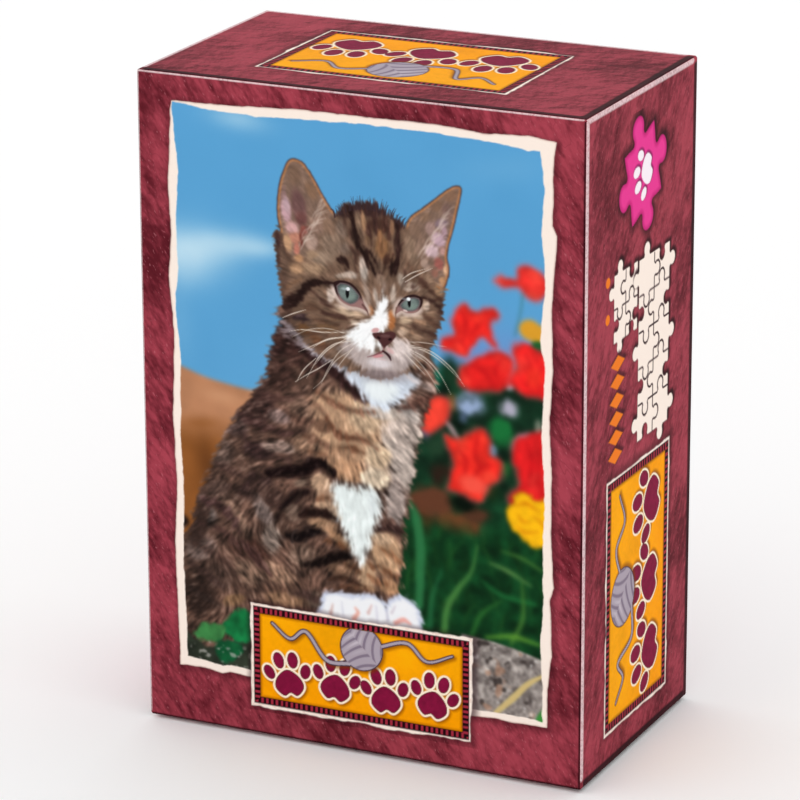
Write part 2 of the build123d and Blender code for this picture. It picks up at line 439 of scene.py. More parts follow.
def paint_background(c):
    """A blue sky with a soft cloud, an earth bank, flowers, grass and a rock, all a little out of focus."""
    haze = c.noise(9, 1, 3)
    sky = srgb(91, 161, 209) + 0.012 * haze[..., None]
    sky = sky + np.clip((c.z - 50) / 300, 0, 1)[..., None] * srgb(-20, -6, 4)
    c.paint(sky, np.ones(c.x.shape))
    for x, z, rx, rz, lean, amount in (
        (6.5, 69.8, 9, 5.4, 0, 0.58), (14, 71.8, 8, 2.6, 3, 0.48), (10, 70.3, 8, 3.2, 6, 0.34),
        (7, 66.5, 6, 3.4, 10, 0.18), (19, 71.8, 4.5, 1.8, 0, 0.36), (6, 60, 3, 8, 0, 0.08),
        (15.5, 89.6, 6, 2.2, -4, 0.4), (55, 87, 9, 3, 8, 0.06),
    ):
        c.paint(srgb(216, 238, 246), c.blob(x, z, rx, rz, lean) * amount * (1 + 0.16 * c.noise(3.4, 2, 2)))
    c.paint(srgb(118, 132, 196), 0.55 * ramp(69, 58, c.z) * ramp(43, 50, c.x) * (1 + 0.3 * haze))

    # The earth bank on the left
    bank = c.depth([(2, 54), (6, 53.2), (9, 52.3), (12, 51.7), (17, 51.1), (22, 51), (22, 20), (2, 20)])
    earth = srgb(182, 127, 92) + (srgb(140, 84, 40) - srgb(182, 127, 92)) * ramp(47.5, 41, c.z)[..., None]
    c.paint(earth * (1 + 0.10 * c.noise(3.0, 3, 3))[..., None], ramp(-0.3, 0.3, bank))
    for x, z, rx, rz, lean, tint, amount in (
        (12.5, 49.5, 4.5, 1.5, -5, (208, 154, 116), 0.6), (9, 45.2, 4, 1.2, 8, (150, 92, 48), 0.7),
        (10, 39, 2.4, 6, 10, (100, 58, 28), 0.85), (6.4, 39, 1.4, 5, 0, (152, 92, 44), 0.6),
    ):
        c.paint(srgb(*tint), c.blob(x, z, rx, rz, lean) * amount)
    c.paint(srgb(30, 18, 14), ramp(0.25, 0.75, 1.4 * c.blob(5.6, 30.2, 1.8, 1.4)))

    # Dark leaves behind the flowers on the right
    leaves = c.depth([
        (40, 58), (44, 57.5), (47, 60.5), (50, 59), (56, 58), (63, 61), (63, 5), (38, 5), (38, 40),
    ])
    leaves = ramp(-1.2, 1.2, leaves + 0.8 * c.noise(2.4, 4, 2))
    dark = srgb(16, 40, 26) + srgb(4, 34, 14) * ramp(46, 30, c.z)[..., None]
    dark = dark * (1 + 0.75 * c.noise(2.2, 5, 3))[..., None]
    c.paint(dark, leaves)
    patches = (
        (44.5, 57, 2.4, 3.6, 0, (22, 96, 74), 0.9), (47.3, 53.5, 1.6, 2.2, 0, (140, 92, 50), 0.6),
        (50.4, 53.6, 2.8, 2.4, 0, (150, 170, 204), 1.1), (49.3, 51.4, 1.2, 1.4, 0, (74, 92, 116), 0.8),
        (56, 53.8, 2, 2, 0, (176, 172, 190), 1.1), (56, 56.8, 0.9, 0.9, 0, (150, 160, 170), 1),
        (57.6, 49.4, 2.4, 1.3, 40, (132, 140, 160), 1.1), (47.6, 49.6, 0.6, 2.4, 40, (150, 130, 130), 1),
        (53.6, 47.4, 1, 1.6, 10, (98, 128, 150), 1), (55, 50.2, 2.6, 2.8, 20, (26, 110, 54), 1.3),
        (60.4, 51.8, 1, 1.6, 0, (110, 120, 104), 0.8), (45.5, 46.5, 2.2, 2.2, 0, (34, 62, 42), 1),
        (43.5, 49.6, 1.4, 2.6, 0, (92, 84, 104), 0.9), (46, 43, 2.6, 2.6, 0, (44, 30, 22), 0.9),
        (44.4, 38.6, 4.4, 3.2, 0, (98, 58, 40), 1.3), (48.5, 36, 4.8, 2.2, 0, (112, 66, 38), 1.2),
        (51, 38, 3, 2, 0, (84, 52, 36), 1), (43.4, 35, 2, 3, 0, (94, 52, 26), 0.8),
        (49.5, 39.3, 3, 1.7, 0, (8, 18, 10), 1.2), (53, 41.5, 2.6, 2.4, 0, (20, 44, 22), 0.9),
        (55.5, 45.2, 1.5, 2.2, 0, (30, 84, 40), 0.8),
    )
    for x, z, rx, rz, lean, tint, amount in patches:
        c.paint(srgb(*tint), ramp(0.10, 0.80, amount * c.blob(x, z, rx, rz, lean)
                                  * (1 + 0.6 * c.noise(1.5, 6, 2))))

    # Grass
    lawn = ramp(37.5, 33.0, c.z + 1.5 * c.noise(3.2, 8, 2)) * ramp(38, 40, c.x)
    c.paint(srgb(15, 56, 28) * (1 + 0.50 * c.noise(1.5, 9, 3))[..., None], lawn)
    rng = np.random.default_rng(11)
    for _ in range(90):
        x, z = rng.uniform(40, 62), rng.uniform(19, 36)
        lean, rise = rng.uniform(-2.6, 2.6), rng.uniform(1.5, 5.0)
        blade = [(x, z), (x + lean * 0.35, z + rise * 0.55), (x + lean, z + rise)]
        tint = srgb(32, 82, 36) * rng.uniform(0.4, 1.35)
        c.paint(tint, ramp(-0.25, 0.25, c.stroke(blade, (0.10, 0.22, 0.02))) * rng.uniform(0.35, 0.8)
                * ramp(36, 34, c.z))
    blades = (
        ([(41, 38.5), (42.2, 36), (42.8, 31), (42.6, 23.5)], (0.2, 0.7, 0.75, 0.6), (48, 122, 72)),
        ([(46.4, 20), (46.8, 23.5), (48.4, 26.6), (50.4, 29.4), (51.4, 33.4)], (0.5, 0.5, 0.3, 0.1),
         (78, 136, 66)), ([(53.4, 31.2), (56, 30.4), (59.4, 28.8)], (0.15, 0.35, 0.1), (94, 140, 74)),
        ([(55, 33.2), (58, 32.6), (61, 31.2)], (0.1, 0.3, 0.2), (66, 116, 50)),
        ([(52, 28.5), (55, 26.8), (60, 26.2)], (0.1, 0.4, 0.3), (30, 104, 52)),
        ([(50.5, 20), (52, 23.5), (55, 26)], (0.3, 0.4, 0.1), (44, 108, 46)),
        ([(56.5, 20), (58.2, 24), (58, 29)], (0.3, 0.35, 0.1), (70, 122, 50)),
        ([(52.8, 20.3), (56.8, 21), (60.8, 20.4)], (0.2, 0.45, 0.2), (92, 150, 52)),
        ([(44.2, 20.5), (44.6, 25), (46, 29)], (0.4, 0.35, 0.1), (34, 100, 60)),
    )
    for blade, wide, tint in blades:
        c.paint(srgb(*tint), ramp(-0.35, 0.35, c.stroke(blade, wide)) * 0.85)

    # Flowers: a soft outline, darker towards the bottom edge, with petals parted by folds
    flowers = (
        ([(57.4, 73.6), (59.2, 73.9), (60.8, 73), (61.8, 71.4), (60.6, 69.6), (58.6, 69.6), (57.4, 70.9),
         (55.2, 70.8), (54, 71.3), (54.6, 72), (57, 71.9)], (222, 42, 40)),
        ([(48.2, 66.8), (49.4, 67.5), (51, 66.6), (53.4, 67.6), (54.3, 66.6), (53.3, 65.3), (53.5, 63.4),
         (54, 62.2), (52, 63.2), (50.4, 61.6), (49.6, 60.1), (47.8, 60.8), (46, 61), (46.2, 62.4),
         (48, 63.2), (47.6, 65)], (224, 32, 30)),
        ([(51.6, 60.6), (53.6, 61.4), (56, 61.2), (56.6, 59.4), (55.6, 57), (53.4, 55.8), (50.8, 55.7),
         (48.8, 56.2), (48.8, 58.4), (50.4, 59.6)], (214, 26, 28)),
        ([(56.4, 62.4), (58.4, 63.2), (60.6, 62.4), (62.6, 62.6), (62.6, 55.6), (60.2, 56), (57.6, 56.2),
         (56.2, 57.8), (57, 60)], (226, 26, 30)),
        ([(43.4, 52.4), (45.2, 54), (46.9, 53.6), (47, 51.4), (45.8, 49.6), (44, 48.6), (42.6, 50)],
         (228, 58, 46)),
        ([(57, 49.4), (59.4, 50.6), (62.6, 50.2), (62.6, 40), (58, 39.6), (56, 40.6), (57.6, 43.6),
         (56.6, 46.6)], (204, 22, 28)),
        ([(50.4, 49.6), (52, 50.2), (53.2, 49.2), (53.3, 46.8), (54.8, 45.8), (54.6, 43.4), (52.8, 42.2),
         (51.8, 40.1), (49.2, 40.4), (47.8, 40.8), (46.8, 41.2), (47.4, 43), (47.8, 45.4), (46.6, 47.8),
         (46.6, 48.8), (48.6, 48)], (226, 36, 30)),
    )
    for outline, tint in flowers:
        depth = c.depth(outline) + 0.30 * c.noise(1.3, 12, 2)
        petals = 1 + 0.12 * c.noise(2.0, 13, 2) + 0.08 * c.noise(0.8, 25, 2) - 0.16 * ramp(1.2, -0.2, depth)
        glow = srgb(10, 22, 14) * ramp(0.0, 0.8, c.noise(2.6, 26, 2))[..., None]
        warm = srgb(*tint) + srgb(16, 10, 6) + glow
        c.paint(srgb(232, 96, 100), ramp(-0.9, 0.3, depth) * 0.55)
        c.paint(np.clip(warm * petals[..., None], 0, 1), ramp(-0.4, 0.5, depth))
    folds = (
        ([(48.9, 66.6), (49.6, 64.8), (49.2, 62.6)], (0.1, 0.4, 0.2)),
        ([(52.6, 66.4), (51.2, 64.6), (50.2, 63)], (0.1, 0.35, 0.2)),
        ([(47, 61.9), (48.6, 62.3), (49.6, 61.4)], (0.1, 0.3, 0.1)),
        ([(50.2, 59.2), (52.4, 58.4), (54, 56.6)], (0.1, 0.4, 0.2)),
        ([(54.8, 60.6), (54, 58.8), (54.4, 57.2)], (0.1, 0.3, 0.1)),
        ([(58.4, 61.8), (59.2, 59.6), (58.6, 57.4)], (0.1, 0.4, 0.2)),
        ([(61, 60.6), (60, 58.6), (60.4, 56.8)], (0.1, 0.35, 0.2)),
        ([(48.2, 47.2), (49.6, 45.6), (49.4, 43.6)], (0.1, 0.4, 0.2)),
        ([(51.4, 49.2), (51, 46.6), (51.8, 44.8)], (0.1, 0.35, 0.2)),
        ([(53.6, 45.4), (52, 44.8), (50.8, 43.4)], (0.1, 0.35, 0.1)),
        ([(58.6, 49.2), (59.4, 46.4), (58.8, 43.2)], (0.1, 0.45, 0.2)),
        ([(60.6, 48.6), (60.4, 45), (60.9, 42)], (0.1, 0.4, 0.2)),
    )
    for fold, wide in folds:
        c.paint(srgb(176, 14, 22), ramp(-0.5, 0.5, c.stroke(fold, wide)) * 0.5)
    glow = 1.5 * c.blob(50.8, 42.2, 3.2, 1.9, -10) * (1 + 0.3 * c.noise(1.0, 27, 2))
    c.paint(srgb(246, 96, 78), ramp(0.1, 1.1, glow) * 0.75)
    for x, z, rx, rz, lean, tint, amount in (
        (53.2, 43.6, 1.5, 1.2, 0, (246, 96, 70), 0.4), (59.4, 73, 1.4, 0.8, 0, (250, 70, 54), 0.5),
        (59.6, 58.6, 1.8, 2.2, 0, (250, 64, 40), 0.5), (49.2, 48.2, 1.3, 1, 0, (248, 70, 50), 0.5),
        (51.6, 65.8, 1.6, 0.9, 20, (248, 60, 44), 0.5),
    ):
        c.paint(srgb(*tint), ramp(0.1, 1.0, 1.3 * c.blob(x, z, rx, rz, lean)) * amount)
    for x, z, rx, rz in ((59.0, 65.2, 2.2, 2.0), (60.6, 64.6, 2.6, 1.9), (58.6, 65.4, 1.4, 1.1)):
        c.paint(srgb(218, 156, 44), ramp(0.2, 0.7, 1.2 * c.blob(x, z, rx, rz)))
    c.paint(srgb(32, 92, 44), ramp(0.3, 0.7, c.blob(60.2, 63.2, 1.6, 1.0)))
    stalk = c.stroke([(57.9, 70), (57.6, 67.5), (56.8, 64.2)], (0.12, 0.1, 0.1))
    c.paint(srgb(44, 90, 60), ramp(-0.3, 0.3, stalk) * 0.5)
    marigold = c.depth([
        (57.2, 42.0), (58.6, 42.3), (60.0, 41.4), (62.8, 41.6), (62.8, 35.2), (60.8, 34.5), (59.0, 34.7),
        (57.4, 35.8), (56.0, 37.2), (55.6, 39.0), (56.4, 40.2),
    ])
    marigold = marigold + 0.25 * c.noise(0.7, 14)
    ruffle = 1 + 0.07 * c.noise(0.8, 15, 2) - 0.22 * ramp(0.7, 0.0, marigold)
    c.paint(srgb(253, 188, 20) * ruffle[..., None], ramp(-0.25, 0.25, marigold))
    for petal, wide in (
        ([(57, 40), (58.6, 40.6), (60.6, 39.6)], 0.3), ([(57.2, 37.2), (58.4, 36.4), (60.4, 36.8)], 0.2),
        ([(59.6, 38.9), (60.8, 38.2), (61.6, 37)], 0.2), ([(57.4, 38.9), (58, 38), (59.2, 38)], 0.2),
    ):
        c.paint(srgb(206, 112, 6), ramp(-0.3, 0.3, c.stroke(petal, (0.05, wide, 0.05))) * 0.7)

    c.soften(6)

    # The rock at the foot
    rock = c.depth([(49, 20.2), (53, 19.9), (57, 19.3), (63, 17.8), (63, 5), (49, 5)], smooth=False)
    grit = 0.50 + 0.42 * c.noise(1.1, 16, 3) + 0.20 * c.noise(0.45, 17, 2) + 0.12 * c.noise(3.0, 18)
    grit = np.clip(grit, 0, 1)
    stone = srgb(62, 54, 52) + (srgb(222, 212, 204) - srgb(62, 54, 52)) * grit[..., None]
    c.paint(stone, ramp(-0.2, 0.2, rock))
    for tint, low, high, size, seed, amount in (
        ((46, 38, 36), 0.34, 0.6, 1.3, 19, 0.75), ((176, 128, 100), 0.40, 0.62, 1.7, 20, 0.55),
        ((240, 238, 234), 0.45, 0.65, 0.9, 24, 0.6),
    ):
        c.paint(srgb(*tint), ramp(low, high, c.noise(size, seed, 2)) * ramp(0, 0.5, rock) * amount)
    straw = c.stroke([(54.2, 9.4), (56.8, 12.0), (59.0, 14.4), (61.6, 16.2)], (0.35, 0.5, 0.42, 0.2))
    c.paint(srgb(206, 182, 122), ramp(-0.2, 0.2, straw))
    c.paint(srgb(60, 140, 60), ramp(-0.3, 0.3, c.depth([(60.2, 9), (61.8, 11.6), (63, 11), (63, 7.5)])))


BODY = [
    (23, 64), (21.4, 61), (20.4, 58.5), (19.9, 56), (19, 53.2), (17.6, 51), (15.6, 48.5), (13.9, 45.8),
    (12.4, 43.2), (10.8, 40.3), (9.4, 37.3), (8.4, 34.2), (7.6, 31.6), (6.6, 29.2), (4.5, 27.2), (2, 26),
    (2, 4), (20, 4), (42, 6), (41.6, 20), (39.6, 23.5), (39.7, 26), (40.1, 29), (40.4, 32), (40.5, 34.6),
    (40.9, 37.2), (41.3, 40.2), (42, 43.2), (42.6, 46.2), (43.2, 49), (44.2, 51.6), (44.6, 54.2),
    (45.2, 56.6), (44.6, 59.4), (42, 62),
]
HEAD = [
    (21.3, 75), (20.9, 72.5), (21.2, 70), (21.6, 67.6), (21.9, 65.4), (22.4, 63.2), (23.6, 61), (25.6, 59),
    (28.2, 57.4), (31.2, 56.3), (34, 55.5), (36.4, 55.3), (39.2, 56), (41.8, 57.4), (43.8, 59.4),
    (45, 61.8), (45.8, 64.6), (46.4, 67.2), (46.6, 69.2), (45.4, 69.4), (44.4, 71), (43.2, 73.2),
    (42, 75.6), (40.9, 77.4), (40, 78.1), (38.9, 78.5), (37.6, 79.4), (36.2, 80.1), (34.8, 80.2),
    (33.2, 79.8), (31.6, 79.2), (30.2, 78.2), (29.3, 76.6), (28, 74.6), (26.6, 72.6), (25.2, 70.9),
    (23.8, 70.7), (22.6, 72.2), (22, 74.4),
]
LEFT_EAR = [
    (21.9, 72.6), (21.7, 74.6), (21.3, 77), (21.4, 79.4), (21.8, 81.6), (22.6, 83.8), (23.3, 84.8),
    (24.3, 85), (25.4, 84.6), (26.6, 83.2), (28, 81), (29.4, 78.9), (30.6, 77.6), (31.1, 76.4), (30.6, 74),
    (28, 71.6), (25.4, 70), (23.2, 70.4),
]
RIGHT_EAR = [
    (48.95, 83.7), (48, 83.9), (46.7, 83.2), (45, 81.8), (43.2, 80.3), (41.4, 78.9), (40.6, 77.2),
    (41, 74.4), (43, 71.6), (45.2, 69.3), (46.4, 69.4), (47, 70.9), (47.2, 72.3), (46.9, 73.8),
    (47.1, 75.4), (47.7, 77.4), (48.3, 80), (48.8, 82.2),
]


def fur(c, hair, tint, mask, contrast=0.22, tips=0.0):
    """Fur of one colour: each hair lightens or darkens it, and the brightest hairs take pale tips."""
    strand = np.clip(hair, -2.2, 2.2)
    shade = tint * (1 + contrast * strand)[..., None]
    shade = shade + (srgb(214, 196, 178) - shade) * (tips * ramp(0.6, 2.0, strand))[..., None]
    c.paint(np.clip(shade, 0, 1), mask)


def paint_kitten(c):
    """A tabby kitten sitting up, in three-quarter view: body, legs and paws, then the head."""
    body, head = c.depth(BODY), c.depth(HEAD)
    left_ear, right_ear = c.depth(LEFT_EAR), c.depth(RIGHT_EAR)
    face = ramp(-1.5, 0.8, np.maximum(head, np.maximum(left_ear, right_ear) - 1.0))
    lay = lay_of_fur(c, face)
    fine = c.combed(lay, 0.9, 0, 21)
    tuft = c.combed(lay, 1.5, 1, 22)
    lock = c.combed(lay, 1.9, 2, 23)
    hair = 0.60 * fine + 0.48 * tuft + 0.30 * lock
    wisps = 0.12 * fine + 0.14 * tuft + 0.12 * lock

    def laid(depth, soft=0.35, ruffle=1.0):
        return ramp(-soft, soft, depth + ruffle * wisps)

    def patch(x, z, rx, rz, lean, tint, amount, contrast, tips):
        bell = c.blob(x, z, rx, rz, lean)
        shaded = srgb(*tint) * (0.44 + 0.46 * mottle)[..., None]
        fur(c, hair, shaded, ramp(0.10, 0.70, amount * bell * (1 + 0.8 * wisps)) * coat, contrast, tips)

    def stripe(points, wide, tint, amount):
        fur(c, hair, srgb(*tint), laid(c.stroke(points, wide), 0.42, 1.1) * amount * coat, 0.30, 0.16)

    # Body
    coat = laid(body, 0.40, 1.25)
    mottle = 1 + 0.34 * c.noise(1.8, 8, 2) + 0.14 * c.noise(0.9, 9)
    fur(c, hair, srgb(90, 66, 56) * mottle[..., None], coat, 0.28, 0.24)
    body_patches = (
        (21, 59, 3.6, 3.6, 0, (56, 36, 34), 1.5), (21, 54, 3.4, 3.4, 20, (70, 48, 42), 1.4),
        (17.6, 49, 4, 3.6, 40, (64, 44, 40), 1.4), (14.6, 45.6, 2.6, 2.4, 40, (78, 60, 56), 1.1),
        (12, 41.4, 3, 3, 40, (98, 78, 70), 1.1), (18, 42.4, 3.2, 1.8, 0, (60, 42, 40), 1.2),
        (21.2, 43.4, 3.6, 1.2, 4, (140, 116, 106), 1.2), (21.4, 47.8, 2.4, 1.4, 0, (134, 110, 104), 1),
        (24.5, 50, 3.2, 2.4, 0, (120, 92, 78), 1), (17.4, 37, 4, 2.2, 30, (72, 52, 46), 1.1),
        (11.5, 35.5, 3, 3, 45, (92, 70, 62), 0.9), (9.6, 31.5, 2.4, 2.2, 30, (132, 116, 110), 1.1),
        (14.4, 32, 1.6, 4.4, 38, (134, 104, 88), 1), (18.6, 33.6, 1.8, 3.4, 30, (124, 106, 100), 1),
        (19.8, 29.8, 2, 2.8, 0, (136, 118, 108), 1.1), (8.6, 26.6, 3.6, 2.6, 20, (104, 86, 80), 1),
        (14.6, 27.2, 1.6, 3.6, 42, (92, 64, 54), 1), (17.8, 27.4, 1.5, 3.4, 45, (76, 50, 42), 1.2),
        (20.6, 24.6, 4.2, 2, -20, (160, 124, 102), 1.1), (16, 24, 3.4, 2.4, -40, (128, 100, 84), 1),
        (11.5, 23, 3.6, 2.6, -20, (80, 60, 52), 1), (22, 21, 4.4, 1.6, 0, (138, 104, 80), 1.1),
        (26.8, 21.6, 2, 2, 0, (96, 78, 68), 1), (8.2, 19.6, 3.6, 3.4, 0, (58, 42, 36), 1.3),
        (6.4, 12, 2.4, 2.4, 0, (52, 40, 34), 1.2), (13.8, 19.6, 2.6, 1.2, 20, (120, 90, 66), 1),
        (24.8, 27.8, 3, 2.4, 0, (124, 98, 84), 1), (30.8, 27.2, 3.4, 2.4, 0, (140, 106, 84), 1),
        (25.4, 44.6, 3.2, 2.4, 0, (140, 108, 88), 1),
    )
    chest_patches = (
        (32, 47.4, 6.4, 6.2, 0, (206, 164, 130), 1.7), (29.6, 50, 4, 2.6, -20, (196, 156, 124), 1.4),
        (34.6, 49.6, 3.2, 3, 0, (224, 190, 156), 1.3), (30, 43, 3.8, 2.4, 0, (192, 148, 116), 1.4),
        (32, 41.4, 3.2, 2, 0, (204, 156, 120), 1.5), (36.5, 43, 2.6, 3, 0, (206, 176, 152), 1.2),
        (39.6, 45.6, 2.8, 7, 10, (186, 170, 160), 1.6), (41, 50.4, 2.2, 3.4, 0, (198, 184, 176), 1.4),
        (39, 37.8, 1.8, 4.4, 0, (176, 158, 150), 1.5), (38.6, 49, 1.8, 3, 0, (214, 182, 152), 1),
        (40.4, 48.2, 3.4, 2.6, 0, (216, 196, 184), 1.6), (36.4, 44.2, 2.4, 2.2, 0, (232, 200, 166), 1.6),
        (36, 40.8, 2.6, 1.8, 0, (236, 212, 184), 1.7), (37, 50.6, 3.4, 1.2, 0, (232, 214, 200), 1.5),
        (30, 35.6, 2, 2.6, 0, (206, 176, 150), 1.5), (20.2, 35.8, 2, 1.8, 0, (70, 50, 44), 1.5),
        (8.6, 31, 1.9, 5.4, -12, (66, 48, 42), 1.5), (31.8, 23.6, 2.6, 1.2, 0, (74, 52, 42), 1.5),
        (28, 47.4, 1.8, 1.4, 0, (120, 88, 70), 1.2), (27.6, 39, 1.9, 1.7, 0, (204, 166, 136), 1.5),
        (28.6, 37.2, 2.2, 1.2, 0, (190, 152, 124), 1.2), (28.2, 35.8, 2.4, 0.8, 0, (200, 162, 132), 1.1),
        (28, 33, 3, 1.2, -8, (176, 136, 106), 1.3), (30.4, 31.2, 2.6, 1, -30, (176, 134, 102), 1.2),
        (24.6, 38.6, 1.6, 0.8, 20, (142, 116, 100), 1), (23, 34.2, 1.6, 2.2, 45, (132, 106, 92), 1),
        (37.6, 30, 2.8, 3.6, 0, (206, 164, 128), 1.7), (36.8, 32.2, 2.2, 1.2, 0, (222, 184, 150), 1.3),
        (34.6, 26.6, 1.8, 2.8, 0, (204, 166, 132), 1.4), (38, 25.4, 2, 1.6, 0, (188, 142, 106), 1.2),
        (34, 24.6, 3, 0.8, 0, (166, 128, 98), 0.9),
    )
    for patches, contrast in ((body_patches, 0.30), (chest_patches, 0.17)):
        for place_tint_amount in patches:
            patch(*place_tint_amount, contrast, 0.22)

    # Stripes, from the neck down
    stripes = (
        ([(23.4, 58.4), (26.6, 57.2), (29.6, 55.8), (31.6, 54.4), (33.4, 52.8), (34.8, 51.9)],
         (0.5, 0.95, 1.1, 0.3), (42, 24, 24), 0.95),
        ([(20.6, 59), (22.4, 58), (25.6, 55.6), (28, 54.6)], (0.8, 1.2, 0.8, 0.2), (62, 40, 36), 0.8),
        ([(39.6, 51.4), (41.8, 52.4), (44.4, 54.2)], (0.25, 0.8, 0.5), (84, 56, 48), 0.9),
        ([(41.2, 53.2), (43.4, 54.4), (45, 55.6)], (0.2, 0.4, 0.3), (120, 92, 80), 0.7),
        ([(27.2, 52.2), (28.6, 51.4), (30.6, 50.6), (33, 50.2), (35.6, 50.4)], (0.15, 0.42, 0.4, 0.15),
         (92, 60, 46), 0.85), ([(25.6, 51.2), (27.6, 49.8), (29, 48)], (0.2, 0.4, 0.2), (104, 74, 60), 0.7),
        ([(28.6, 48.6), (29.6, 47.2), (31.2, 46.2), (33, 46.4)], (0.2, 0.5, 0.3), (84, 52, 38), 0.9),
        ([(32.6, 46.2), (34.6, 46.2), (36.2, 45.2)], (0.2, 0.3, 0.15), (92, 58, 44), 0.85),
        ([(30.6, 44.6), (32.4, 44.8), (34.2, 44.3)], (0.2, 0.45, 0.2), (88, 56, 40), 0.85),
        ([(25, 45.6), (27, 45.2), (29.2, 44.2)], (0.3, 0.5, 0.2), (84, 58, 46), 0.85),
        ([(22.4, 48.6), (24.6, 47.6), (26.6, 47.8)], (0.3, 0.5, 0.2), (86, 60, 50), 0.8),
        ([(25.4, 43.4), (27.4, 43.4), (29, 42.8)], (0.2, 0.35, 0.2), (100, 68, 52), 0.75),
        ([(18.6, 50.6), (21.6, 50.4), (25, 51.8)], (0.3, 0.5, 0.2), (66, 44, 40), 0.7),
        ([(19.4, 39.2), (21, 39.7), (23.4, 40.2), (25.2, 40.6), (26.6, 41.7), (28.2, 41.8), (29.4, 40.8)],
         (0.5, 0.8, 0.85, 0.75, 0.6), (18, 9, 9), 1),
        ([(15.2, 44.6), (17.6, 42.6), (20.2, 41.8), (23, 41.9)], (0.4, 0.6, 0.3, 0.2), (58, 40, 38), 0.8),
        ([(15.4, 47), (18.4, 46), (22.4, 45.6), (25, 46.2)], (0.4, 0.6, 0.4, 0.2), (58, 38, 36), 0.8),
        ([(20.8, 33), (21.8, 34.6), (23, 36.1), (24.6, 37.2), (25.6, 37.4)], (0.35, 0.55, 0.6, 0.3),
         (20, 11, 11), 0.97),
        ([(24.4, 34), (25.6, 34.4), (27.2, 34.6), (28.8, 34.6), (30.4, 33.8)], (0.25, 0.7, 0.6, 0.6, 0.3),
         (26, 14, 12), 0.95),
        ([(27.2, 36.6), (28.6, 37), (29.8, 36.6)], (0.15, 0.4, 0.15), (96, 64, 46), 0.85),
        ([(22.2, 30.6), (24, 30.6), (26, 31.6), (27.6, 31.8)], (0.35, 0.72, 0.62, 0.25), (14, 8, 8), 1),
        ([(25, 26.6), (27, 27.2), (29.2, 28.2), (31.2, 28.9), (32.2, 28.8)], (0.3, 0.6, 0.8, 0.7, 0.3),
         (16, 9, 8), 1), ([(28.4, 30.6), (30, 30.6), (31.4, 29.9)], (0.15, 0.35, 0.2), (92, 58, 38), 0.85),
        ([(31.6, 27.6), (32.8, 27.2), (33.6, 26.6)], (0.3, 0.5, 0.2), (64, 40, 28), 0.85),
        ([(28.8, 25), (30.6, 25.6), (32.4, 25.2), (34.2, 24.8)], (0.2, 0.4, 0.4, 0.2), (50, 32, 24), 0.9),
        ([(30.4, 24), (32.4, 24.4), (34.6, 24.2)], (0.2, 0.3, 0.2), (72, 46, 34), 0.85),
        ([(36.2, 33.2), (37.2, 34.2), (38.4, 34.3), (39.8, 33.6)], (0.2, 0.6, 0.7, 0.4), (44, 28, 26),
         0.95), ([(36, 35.2), (37.2, 34.8), (38.4, 35.2)], (0.1, 0.3, 0.2), (84, 60, 52), 0.8),
        ([(34.6, 28.6), (35.4, 27.9), (36.6, 28.3)], (0.2, 0.4, 0.2), (92, 58, 40), 0.9),
        ([(36.8, 30.8), (38, 30.4), (39.6, 29.2)], (0.2, 0.35, 0.25), (112, 74, 50), 0.85),
        ([(36.4, 28.2), (37.6, 27.6), (39, 26.8)], (0.2, 0.42, 0.2), (92, 58, 40), 0.9),
        ([(34.8, 26.6), (36, 25.9), (37.6, 25.6)], (0.2, 0.3, 0.15), (108, 70, 48), 0.85),
        ([(11.4, 39.6), (13.6, 38.8), (16.4, 37.8)], (0.3, 0.6, 0.2), (58, 40, 36), 0.75),
        ([(12.8, 36.4), (15.2, 36.2), (17.4, 35.2)], (0.3, 0.6, 0.2), (58, 42, 38), 0.75),
        ([(9.4, 33.8), (11.6, 33.4), (13.6, 32), (15, 29.8)], (0.3, 0.7, 0.6, 0.3), (58, 38, 38), 0.8),
        ([(8.4, 30.4), (11.4, 30), (13.8, 28.4), (15.6, 26.4)], (0.3, 0.4, 0.5, 0.2), (70, 48, 44), 0.75),
        ([(15, 28.4), (16.8, 27), (18.4, 25.4), (19.6, 24.2)], (0.4, 0.7, 0.6, 0.2), (56, 36, 34), 0.85),
        ([(7.4, 27.4), (10, 26.4), (12.6, 25), (14.4, 23)], (0.3, 0.5, 0.5, 0.2), (70, 50, 44), 0.8),
        ([(6.8, 24.2), (9.4, 22.8), (12.2, 21.2)], (0.3, 0.6, 0.3), (58, 42, 38), 0.8),
        ([(6.6, 20.4), (9, 19.4), (11.4, 18.6)], (0.3, 0.6, 0.3), (50, 38, 34), 0.8),
        ([(18.6, 22.2), (21, 22.4), (24.2, 23.6)], (0.2, 0.45, 0.2), (92, 66, 54), 0.75),
        ([(23, 22), (25.2, 22.2), (27, 21.6)], (0.3, 0.7, 0.4), (62, 44, 40), 0.85),
        ([(15.6, 36.6), (17.4, 38.6), (19.4, 38.2)], (0.4, 0.7, 0.3), (52, 36, 34), 0.8),
        ([(18.4, 36.2), (20.4, 36.8), (22, 36.4)], (0.2, 0.5, 0.2), (62, 44, 38), 0.7),
    )
    for line_wide_tint_amount in stripes:
        stripe(*line_wide_tint_amount)

